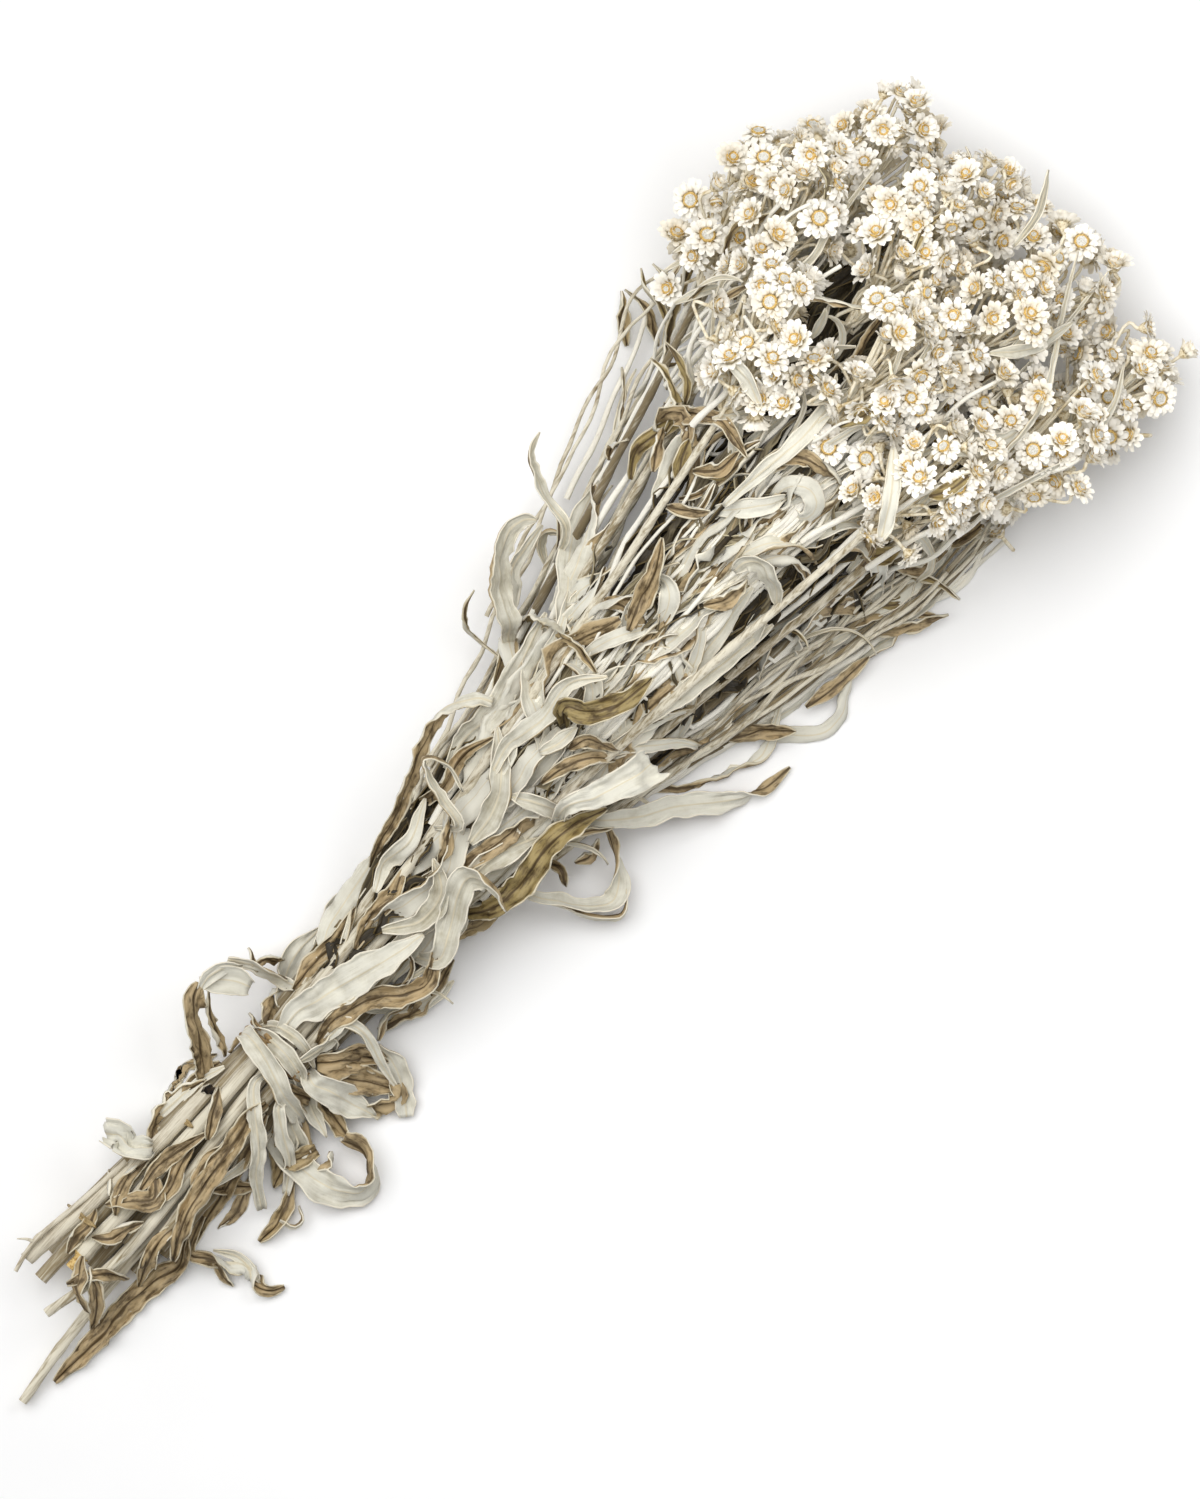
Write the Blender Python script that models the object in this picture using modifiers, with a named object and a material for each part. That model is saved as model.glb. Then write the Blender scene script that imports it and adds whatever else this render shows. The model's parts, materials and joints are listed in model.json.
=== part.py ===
"""A bunch of dried pearly everlasting, lying on its side.

The stems run along X, with their cut ends at -X and their flower sprays at +X, and the
bunch rests on the plane Z = 0. Every length in this file is in millimetres, and MM turns
it into metres where a mesh or a curve is made.
"""
from math import atan2, cos, pi, radians, sin

import bmesh
import bpy
from mathutils import Matrix, Vector

MM = 0.001
GAP = 0.3                      # clearance kept between pieces that touch

# Stems: packed in four rows where the tie holds them.
TIE_X = -93.0
WAIST_HALF = 5.0               # half of the straight stretch of the stems under the tie
WAIST_Y = 0.7
STEM_PITCH = 3.9
STEM_RADIUS = 1.75             # at the tie
TIP_RADIUS = 0.8
TUBE_RESOLUTION = 2            # bevel resolution that gives a tube eight sides
FAN_POINTS = 8                 # points of a stem between the tie and its spray
SPREAD_POWER = 1.45            # stems stay close together at first, then fan out
TWINE_RADIUS = 0.8
TIE_POINTS = 32
ROW_Z = [2 * TWINE_RADIUS + GAP + STEM_RADIUS + row * STEM_PITCH * sin(pi / 3) for row in range(4)]

# Flower sprays: egg shapes, one on the tip of each stem.
SPRAY_HALF = (20.0, 13.0, 11.5)  # half length, half width, half height
SPRAY_FLARE = 0.35             # how much broader a spray is towards its front
SPRAY_LOBES = 5
LOBE_DEPTH = 0.1
SPRAY_SEGMENTS = 15
SPRAY_RINGS = 8

LEAF_THICKNESS = 0.9
LEAF_ROWS = 3                  # rows of faces for each point of a leaf's route
LEAF_BASE = 0.05               # where on its half wave of width a leaf begins
LEAF_WAVE = 0.9                # and how much of the half wave it spans
LEAF_FULLNESS = 0.8            # power that fills out the middle of the leaf
LEAF_NARROWEST = 0.16          # width of the leaf stalk and of the tip, of the greatest width
LEAF_CUP = 0.12                # how far the edges stand above the midrib, of the width
FLOOR_CLEARANCE = 0.5          # lowest middle surface of a leaf, so that its underside lies on Z = 0

CREAM_STEM = (0.66, 0.60, 0.50)
BROWN_STEM = (0.36, 0.30, 0.22)
WHITE_BRACT = (0.86, 0.84, 0.77)
PALE_LEAF = (0.60, 0.58, 0.50)
BROWN_LEAF = (0.17, 0.12, 0.07)
OLIVE_LEAF = (0.24, 0.20, 0.09)
TWINE = (0.42, 0.33, 0.20)

# Each stem: place in the waist as (row, column from the middle), radius at the cut end,
# points from the cut end towards the tie, and the middle of the spray it carries.
STEMS = {
    "stem_01": ((0, -1.5), 1.8, [(-158, -7.6, 1.9)], (140, -37, 10.3)),
    "stem_02": ((0, -0.5), 1.9, [(-163, -2.6, 1.9)], (156, -11, 10.2)),
    "stem_03": ((0, 0.5), 1.9, [(-160, 4.4, 1.9)], (146, 15.5, 10.7)),
    "stem_04": ((0, 1.5), 1.9, [(-168, 10.6, 1.9)], (150, 43, 10.8)),
    "stem_05": ((1, -2), 1.6, [(-150, -10.0, 4.4)], (168, -48.5, 29)),
    "stem_06": ((1, -1), 1.2, [(-201, -7.5, 3.0), (-180, -5.4, 4.6), (-155, -4.6, 6.4)], (178, -19, 37)),
    "stem_07": ((1, 0), 1.9, [(-164, 1.4, 6.2)], (180, 8, 34)),
    "stem_08": ((1, 1), 1.7, [(-159, 7.2, 6.2)], (174, 35, 36)),
    "stem_09": ((1, 2), 1.6, [(-155, 13.8, 5.6)], (140, 51.5, 36)),
    "stem_10": ((2, -1.5), 1.5, [(-149, -8.4, 9.4)], (146, -40, 50)),
    "stem_11": ((2, -0.5), 1.9, [(-154, -2.2, 10.4)], (158, -14, 59)),
    "stem_12": ((2, 0.5), 1.8, [(-158, 3.8, 10.2)], (158, 14, 58)),
    "stem_13": ((2, 1.5), 1.9, [(-174.5, 9.4, 9.6)], (148, 41, 59)),
    "stem_14": ((3, -1), 1.6, [(-146, -6.8, 13.6)], (120, -27, 68)),
    "stem_15": ((3, 0), 1.15, [(-180, 2.5, 13.4), (-160, -2.0, 14.4), (-140, -2.4, 14.6)],
                (136, 0, 75)),
    "stem_16": ((3, 1), 2.1, [(-167.5, 5.6, 13.6), (-145, 4.6, 14.4)], (120, 25, 70)),
}

# A stem that broke off short of the tie, and lies in the groove beside the top row.
BROKEN_STEM = [(-173, 15.2, 12.8), (-150, 11.8, 13.2), (-130, 9.4, 13.6), (-111, 8.5, 13.8)]
BROKEN_STEM_RADIUS = 1.75

# Each leaf: the stem that carries it, where along the stem, the direction around it in
# degrees (0 is +Y, 90 is up), the route, the greatest width, the roll from base to tip
# and the colour.
LEAVES = {
    "floor_leaf": ("stem_05", -143, 200, [(-150, -14.2, 3.4), (-157, -12.6, 1.6), (-166, -11.6, 1.0),
                   (-175, -11.6, 1.2), (-185, -10.8, 1.0), (-192, -10.3, 1.2)], 5.4, 0, BROWN_LEAF),
    "hanging_leaf": ("stem_05", -136, 200, [(-142, -15.5, 4.0), (-141.5, -21, 2.4), (-140, -27, 1.6),
                     (-141, -33, 1.6), (-139.5, -37, 1.2), (-136, -38.5, 1.0)], 4.2, 0, BROWN_LEAF),
    "brown_wavy_leaf": ("stem_14", -106, 150, [(-115, -6.0, 16.6), (-125, -7.6, 16.4), (-135, -9.4, 15.4),
                        (-143, -11.8, 12.6), (-149.5, -13.6, 9.6)], 5.0, 0, BROWN_LEAF),
    "small_brown_leaf": ("stem_16", -136, 95, [(-140, 2.4, 17.6), (-145, 5.4, 17.6), (-150, 8.6, 16.8)],
                         5.0, 0, BROWN_LEAF),
    "ragged_leaf": ("broken_stem", -128, 80, [(-131, 12.0, 17.0), (-134, 16.0, 17.4), (-138, 18.6, 16.4)],
                    5.5, 0, PALE_LEAF),
    "wrap_leaf": ("stem_09", -100, 0, [(-95, 12.4, 12.6), (-93, 8.6, 18.0), (-93, 1.0, 19.6),
                  (-95, -5.8, 17.4), (-98, -11.0, 12.2), (-100, -14.6, 7.6)], 8.0, 0, PALE_LEAF),
    "wrap_strip_upper": ("stem_15", -100, 90, [(-105, 0.0, 17.6), (-110, -6.4, 19.2), (-115, -12.2, 16.2),
                         (-120, -16.8, 10.0), (-124, -20.4, 4.4)], 5.0, 0, PALE_LEAF),
    "wrap_strip_lower": ("stem_10", -104, 190, [(-107, -13.4, 13.0), (-112, -18.6, 8.0),
                         (-117, -23.4, 3.0)], 5.0, 0, PALE_LEAF),
    "big_pale_leaf": ("stem_16", -84, 90, [(-76, 3.6, 19.6), (-68, 0.4, 21.6), (-60, -2.8, 23.4),
                      (-52, -5.0, 24.6), (-45, -6.5, 25.2)], 9.5, 0, PALE_LEAF),
    "loop_leaf": ("stem_09", -110, 20, [(-106, 14.6, 11.0), (-102, 19, 14.6), (-98, 24.2, 18.6),
                  (-91, 27, 21.0), (-84, 24.4, 19.0), (-80, 20, 15.2), (-77.5, 15.2, 12.0)],
                  5.0, 30, BROWN_LEAF),
    "floor_curl_leaf": ("stem_05", -110, 200, [(-112, -15.6, 4.4), (-111.5, -23, 2.4), (-110, -30, 1.8),
                        (-104.5, -36.5, 2.0), (-98, -35, 3.4), (-96.6, -28, 5.4)], 6.0, 20, PALE_LEAF),
    "wide_hanging_leaf": ("stem_10", -89, 190, [(-89.5, -13.6, 13.8), (-89, -20.4, 8.6),
                          (-87, -27, 3.6)], 7.6, 0, PALE_LEAF),
    "brown_hanging_leaf": ("stem_05", -84, 190, [(-82.5, -14.4, 7.6), (-80.5, -20.4, 4.6),
                           (-77.5, -27, 2.0)], 6.5, 0, BROWN_LEAF),
    "pale_strip": ("stem_14", -80, 170, [(-74.5, -9.2, 18.6), (-73, -16.2, 15.0), (-74, -22.4, 9.4),
                   (-76, -28, 5.8)], 3.6, 0, PALE_LEAF),
    "side_brown_leaf": ("stem_14", -68, 150, [(-60, -12.6, 21.6), (-54, -16.2, 21.4),
                        (-47, -15.4, 22.0)], 5.6, 0, BROWN_LEAF),
    "mid_pale_leaf": ("stem_10", -48, 140, [(-40, -11.6, 25.2), (-31, -7.4, 31.4), (-25.6, -11.4, 34.6),
                      (-27.6, -19.2, 29.0)], 6.0, 0, PALE_LEAF),
    "long_olive_leaf": ("stem_10", -36, 170, [(-25, -18.6, 23.2), (-12, -19.4, 27.2), (0, -21.4, 29.6),
                        (8, -22.6, 31.4)], 5.8, 0, OLIVE_LEAF),
    "lower_loop_leaf": ("stem_05", -24, 190, [(-18.4, -25, 13.0), (-14.6, -32.4, 9.4), (-9, -37, 6.8),
                        (-3, -34.2, 5.4), (1.4, -28.6, 6.6)], 4.6, 0, BROWN_LEAF),
    "reaching_leaf": ("stem_05", 6, 190, [(12, -29.4, 13.6), (20, -34.4, 9.0), (28, -41.4, 5.2),
                      (37, -46.4, 3.0), (46, -48.5, 2.0)], 6.0, 0, PALE_LEAF),
    "upper_arch_leaf": ("stem_09", -36, 10, [(-28, 18.6, 19.6), (-18, 22.4, 26.0), (-6, 26.4, 30.0),
                        (3, 25.4, 32.0), (9, 22.4, 32.6)], 4.0, 0, BROWN_LEAF),
    "narrow_loop_leaf": ("stem_16", -20, 70, [(-17.6, 12, 34.4), (-15.4, 19.4, 37.0), (-12.6, 22.4, 39.0),
                         (-9.6, 16.4, 39.6)], 3.2, 0, PALE_LEAF),
    "cream_leaf": ("stem_10", 0, 150, [(8, -17.4, 39.0), (15, -19.4, 41.0), (23, -21.0, 41.6)],
                   8.0, 0, PALE_LEAF),
    "pale_arch_leaf": ("stem_09", 24, 20, [(30, 34, 32.0), (36, 40, 37.0), (43, 43.2, 39.0),
                       (51, 40.4, 36.6)], 6.0, 0, PALE_LEAF),
    "thorn_leaf": ("stem_09", 50, 20, [(56, 40.6, 31.4), (58.4, 46.4, 35.6), (61, 51.4, 38.4),
                   (68, 54.3, 40.0)], 3.6, 0, PALE_LEAF),
    "brown_top_leaf": ("stem_15", 18, 100, [(23, -1.4, 50.4), (29, -5.4, 53.0), (39, -7.5, 54.0)],
                       7.0, 0, OLIVE_LEAF),
}


def material(name, colour, roughness):
    """A Principled material for one piece."""
    mat = bpy.data.materials.new(name)
    mat.use_nodes = True
    shader = mat.node_tree.nodes["Principled BSDF"]
    shader.inputs["Base Color"].default_value = (*colour, 1.0)
    shader.inputs["Roughness"].default_value = roughness
    shader.inputs["Metallic"].default_value = 0.0
    mat.diffuse_color = (*colour, 1.0)
    return mat


def add_object(name, data, colour, roughness):
    """Link one named piece with its own material into the bunch's collection."""
    piece = bpy.data.objects.new(name, data)
    data.materials.append(material(name, colour, roughness))
    bunch.objects.link(piece)
    return piece


def smooth_route(points, count):
    """COUNT points on a Catmull-Rom curve through POINTS."""
    points = [Vector(p) for p in points]
    padded = [2 * points[0] - points[1], *points, 2 * points[-1] - points[-2]]
    spans = len(points) - 1
    route = []
    for step in range(count):
        place = step / (count - 1) * spans
        span = min(int(place), spans - 1)
        t = place - span
        a, b, c, d = padded[span:span + 4]
        route.append(0.5 * (2 * b + (c - a) * t + (2 * a - 5 * b + 4 * c - d) * t ** 2
                            + (3 * b - a - 3 * c + d) * t ** 3))
    return route


def tube(name, points, radii, colour, cyclic=False):
    """A capped tube of changing radius along POINTS."""
    curve = bpy.data.curves.new(name, "CURVE")
    curve.dimensions = "3D"
    curve.bevel_depth = MM
    curve.bevel_resolution = TUBE_RESOLUTION
    curve.use_fill_caps = not cyclic
    spline = curve.splines.new("POLY")
    spline.points.add(len(points) - 1)
    for point, place, radius in zip(spline.points, points, radii):
        point.co = (*(Vector(place) * MM), 1.0)
        point.radius = radius
    spline.use_cyclic_u = cyclic
    return add_object(name, curve, colour, 0.8)


def waist_place(slot):
    """The (y, z) of a stem's slot under the tie."""
    row, column = slot
    return WAIST_Y + column * STEM_PITCH, ROW_Z[row]


def stem_line(slot, cut_radius, cut_points, spray_middle):
    """Points and radii of a stem, and the middle and direction of its spray."""
    y0, z0 = waist_place(slot)
    base = [Vector(p) for p in cut_points] + [Vector((TIE_X - WAIST_HALF, y0, z0))]
    start = Vector((TIE_X + WAIST_HALF, y0, z0))
    middle = Vector(spray_middle)
    fan = [start]
    for step in range(1, FAN_POINTS + 1):
        t = step / FAN_POINTS
        spread = t ** SPREAD_POWER
        fan.append(Vector((start.x + (middle.x - start.x) * t,
                           y0 + (middle.y - y0) * spread,
                           z0 + (middle.z - z0) * spread)))
    direction = (fan[-1] - fan[-2]).normalized()
    fan[-1] = middle - direction * (SPRAY_HALF[0] + GAP)
    base_radii = [cut_radius + (STEM_RADIUS - cut_radius) * i / len(cut_points)
                  for i in range(len(base))]
    fan_radii = [STEM_RADIUS + (TIP_RADIUS - STEM_RADIUS) * i / FAN_POINTS for i in range(len(fan))]
    return base + fan, base_radii + fan_radii, direction


def point_on_line(points, radii, x):
    """Middle and radius of a stem where it passes X."""
    for (a, b), (ra, rb) in zip(zip(points, points[1:]), zip(radii, radii[1:])):
        if a.x <= x <= b.x:
            t = (x - a.x) / (b.x - a.x)
            return a.lerp(b, t), ra + (rb - ra) * t
    raise ValueError(f"no stem at x = {x}")


def frames_along(route, normal):
    """Tangent and surface normal at each point, carried along without twisting."""
    frames = []
    for i, point in enumerate(route):
        ahead = route[min(i + 1, len(route) - 1)]
        behind = route[max(i - 1, 0)]
        tangent = (ahead - behind).normalized()
        normal = (normal - tangent * normal.dot(tangent)).normalized()
        frames.append((point, tangent, normal))
    return frames


def leaf(name, seat, points, width, roll, colour):
    """A thin lance-shaped leaf from its seat on a stem along POINTS."""
    stem_name, x, angle = seat
    middle, radius = point_on_line(*lines[stem_name], x)
    outward = Vector((0, cos(radians(angle)), sin(radians(angle))))
    base = middle + outward * (radius + GAP + LEAF_THICKNESS / 2 + LEAF_CUP)
    rows = LEAF_ROWS * len(points) + 1
    frames = frames_along(smooth_route([base, *points], rows), outward)
    bm = bmesh.new()
    bmesh.ops.create_grid(bm, x_segments=2, y_segments=rows - 1, size=1)
    for vert in bm.verts:
        side = vert.co.x
        t = (vert.co.y + 1) / 2
        point, tangent, normal = frames[round(t * (rows - 1))]
        turn = Matrix.Rotation(radians(roll) * t, 3, tangent)
        across = turn @ normal.cross(tangent)
        wave = sin(pi * (LEAF_BASE + LEAF_WAVE * t)) ** LEAF_FULLNESS
        half = width / 2 * max(LEAF_NARROWEST, wave)
        place = point + across * side * half + turn @ normal * abs(side) * half * 2 * LEAF_CUP
        place.z = max(place.z, FLOOR_CLEARANCE)
        vert.co = place * MM
    mesh = bpy.data.meshes.new(name)
    bm.to_mesh(mesh)
    bm.free()
    mesh.shade_smooth()
    piece = add_object(name, mesh, colour, 0.85)
    thickness = piece.modifiers.new("thickness", "SOLIDIFY")
    thickness.thickness = LEAF_THICKNESS * MM
    thickness.offset = 0.0
    return piece


def spray(name, middle, direction, phase):
    """An egg-shaped spray of flower heads, its narrow end on the stem."""
    bm = bmesh.new()
    bmesh.ops.create_uvsphere(bm, u_segments=SPRAY_SEGMENTS, v_segments=SPRAY_RINGS, radius=1.0)
    side = Vector((0, 0, 1)).cross(direction).normalized()
    up = direction.cross(side)
    for vert in bm.verts:
        along = vert.co.z
        around = atan2(vert.co.y, vert.co.x)
        lobes = 1 - LOBE_DEPTH * (0.5 + 0.5 * cos(SPRAY_LOBES * around + phase))
        fat = (1 + SPRAY_FLARE * along) / (1 + SPRAY_FLARE ** 2 / 2) * lobes
        vert.co = (middle + direction * along * SPRAY_HALF[0]
                   + side * vert.co.x * fat * SPRAY_HALF[1]
                   + up * vert.co.y * fat * SPRAY_HALF[2]) * MM
    mesh = bpy.data.meshes.new(name)
    bm.to_mesh(mesh)
    bm.free()
    mesh.shade_smooth()
    return add_object(name, mesh, WHITE_BRACT, 0.9)


def tie(name):
    """A turn of twine that follows the outside of the packed stems."""
    reach = STEM_RADIUS + GAP + TWINE_RADIUS
    corners = []
    for step in range(TIE_POINTS):
        angle = 2 * pi * step / TIE_POINTS
        y, z = max((waist_place(spec[0]) for spec in STEMS.values()),
                   key=lambda place: place[0] * cos(angle) + place[1] * sin(angle))
        corners.append((TIE_X, y + reach * cos(angle), z + reach * sin(angle)))
    return tube(name, corners, [TWINE_RADIUS] * TIE_POINTS, TWINE, cyclic=True)


for old in list(bpy.data.objects):
    bpy.data.objects.remove(old)

bunch = bpy.data.collections.new("pearly_everlasting_bunch")
bpy.context.scene.collection.children.link(bunch)

lines = {}
for number, (stem_name, (slot, cut_radius, cut_points, spray_middle)) in enumerate(STEMS.items(), 1):
    points, radii, heading = stem_line(slot, cut_radius, cut_points, spray_middle)
    lines[stem_name] = (points, radii)
    tube(stem_name, points, radii, CREAM_STEM)
    spray(f"spray_{number:02d}", Vector(spray_middle), heading, phase=number)

broken_points = [Vector(p) for p in BROKEN_STEM]
broken_radii = [BROKEN_STEM_RADIUS] * len(broken_points)
lines["broken_stem"] = (broken_points, broken_radii)
tube("broken_stem", broken_points, broken_radii, BROWN_STEM)

tie("tie")

for leaf_name, (carrier, at_x, around, path, greatest, twist, paint) in LEAVES.items():
    leaf(leaf_name, (carrier, at_x, around), path, greatest, twist, paint)
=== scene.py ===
"""Looks of a bunch of dried pearly everlasting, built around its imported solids.

The file is laid out as a Blender add-on. Lengths are in millimetres, in the frame of the
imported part: X runs from the cut ends to the flowers, Z is up from the surface below.
"""

import json
from functools import partial
from math import cos, exp, pi, radians, sin, sqrt, tau
from random import Random

import bmesh
import bpy
from bpy.props import FloatProperty, FloatVectorProperty, IntProperty, PointerProperty
from mathutils import Matrix, Vector, noise

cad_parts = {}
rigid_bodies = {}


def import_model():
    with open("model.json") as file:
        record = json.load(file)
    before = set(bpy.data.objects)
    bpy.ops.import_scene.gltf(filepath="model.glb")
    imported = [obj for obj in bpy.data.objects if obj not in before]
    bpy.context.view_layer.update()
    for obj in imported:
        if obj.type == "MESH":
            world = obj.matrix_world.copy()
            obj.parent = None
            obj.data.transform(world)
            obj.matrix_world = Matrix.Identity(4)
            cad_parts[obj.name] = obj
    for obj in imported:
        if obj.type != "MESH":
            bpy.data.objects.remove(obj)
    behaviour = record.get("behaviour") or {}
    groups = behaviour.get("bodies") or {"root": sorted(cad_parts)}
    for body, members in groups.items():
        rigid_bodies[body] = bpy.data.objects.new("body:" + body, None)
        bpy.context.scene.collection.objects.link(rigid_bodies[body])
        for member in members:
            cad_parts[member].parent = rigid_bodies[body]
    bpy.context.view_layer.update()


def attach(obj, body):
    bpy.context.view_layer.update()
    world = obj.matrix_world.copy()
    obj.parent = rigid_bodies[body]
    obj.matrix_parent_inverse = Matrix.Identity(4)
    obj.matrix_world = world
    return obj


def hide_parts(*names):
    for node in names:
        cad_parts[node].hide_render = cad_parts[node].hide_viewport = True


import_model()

bl_info = {
    "name": "Dried Pearly Everlasting Bunch",
    "version": (1, 0, 0),
    "blender": (4, 5, 0),
    "location": "View3D > Sidebar > Dried Bunch",
    "description": "Stems, leaves, flower sprays and tie of a dried bunch that lies on a table",
    "category": "Object",
}

MM = 0.001
UP = Vector((0, 0, 1))
BODY = "root"
FLOOR_GAP = 0.32  # lowest point of a leaf's middle surface

# The stems' lines, as the solids have them.
TIE_X = -93.0
WAIST_HALF = 5.0
WAIST_Y = 0.7
STEM_PITCH = 3.9
STEM_RADIUS = 1.75
TIP_RADIUS = 0.8
TWINE_RADIUS = 0.8
GAP = 0.3
SPREAD_POWER = 1.45
FAN_POINTS = 8
SPRAY_HALF = (20.0, 13.0, 11.5)
ROW_Z = [2 * TWINE_RADIUS + GAP + STEM_RADIUS + row * STEM_PITCH * sin(pi / 3) for row in range(4)]


def points_of(text):
    """Points, each with spaces between its numbers, and with commas between the points."""
    return [tuple(float(number) for number in point.split()) for point in text.split(",")]


def table(text):
    """The rows of TEXT, each (words, form, points).

    A row has words, then a colon and points, and goes on in the next line after a comma. Words
    such as tip=0.9 are a leaf's form, which add_leaf explains.
    """
    rows = []
    for line in text.replace(",\n", ",").strip().splitlines():
        head, points = line.split(":")
        parts = [word.partition("=") for word in head.split()]
        form = {word: float(value) for word, sign, value in parts if sign}
        rows.append(([word for word, sign, _ in parts if not sign], form, points_of(points)))
    return rows


# The main stems: name, row and column in the stack, radius at the cut, and points from there.
STEMS = {name: (int(row), float(column), float(radius), points)
         for (name, row, column, radius), _, points in table("""
stem_01 0 -1.5 1.8: -158 -7.6 1.9
stem_02 0 -0.5 1.9: -163 -2.6 1.9
stem_03 0 0.5 1.9: -160 4.4 1.9
stem_04 0 1.5 1.9: -168 10.6 1.9
stem_05 1 -2 1.6: -150 -10 4.4
stem_06 1 -1 1.2: -201 -7.5 3, -180 -5.4 4.6, -155 -4.6 6.4
stem_07 1 0 1.9: -164 1.4 6.2
stem_08 1 1 1.7: -159 7.2 6.2
stem_09 1 2 1.6: -155 13.8 5.6
stem_10 2 -1.5 1.5: -149 -8.4 9.4
stem_11 2 -0.5 1.9: -154 -2.2 10.4
stem_12 2 0.5 1.8: -158 3.8 10.2
stem_13 2 1.5 1.9: -174.5 9.4 9.6
stem_14 3 -1 1.6: -146 -6.8 13.6
stem_15 3 0 1.15: -180 2.5 13.4, -160 -2 14.4, -140 -2.4 14.6
stem_16 3 1 2.1: -167.5 5.6 13.6, -145 4.6 14.4
""")}
BROKEN_STEM = points_of("-173 15.2 12.8, -150 11.8 13.2, -130 9.4 13.6, -111 8.5 13.8")
BROKEN_STEM_RADIUS = 1.9
TWIG = points_of("-177 15.3 15.2, -172 16.3 15.6, -167 16.6 15.4, -160 15.6 14.8, "
                 "-150 13.9 14.6, -138 12.4 14.8")

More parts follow.
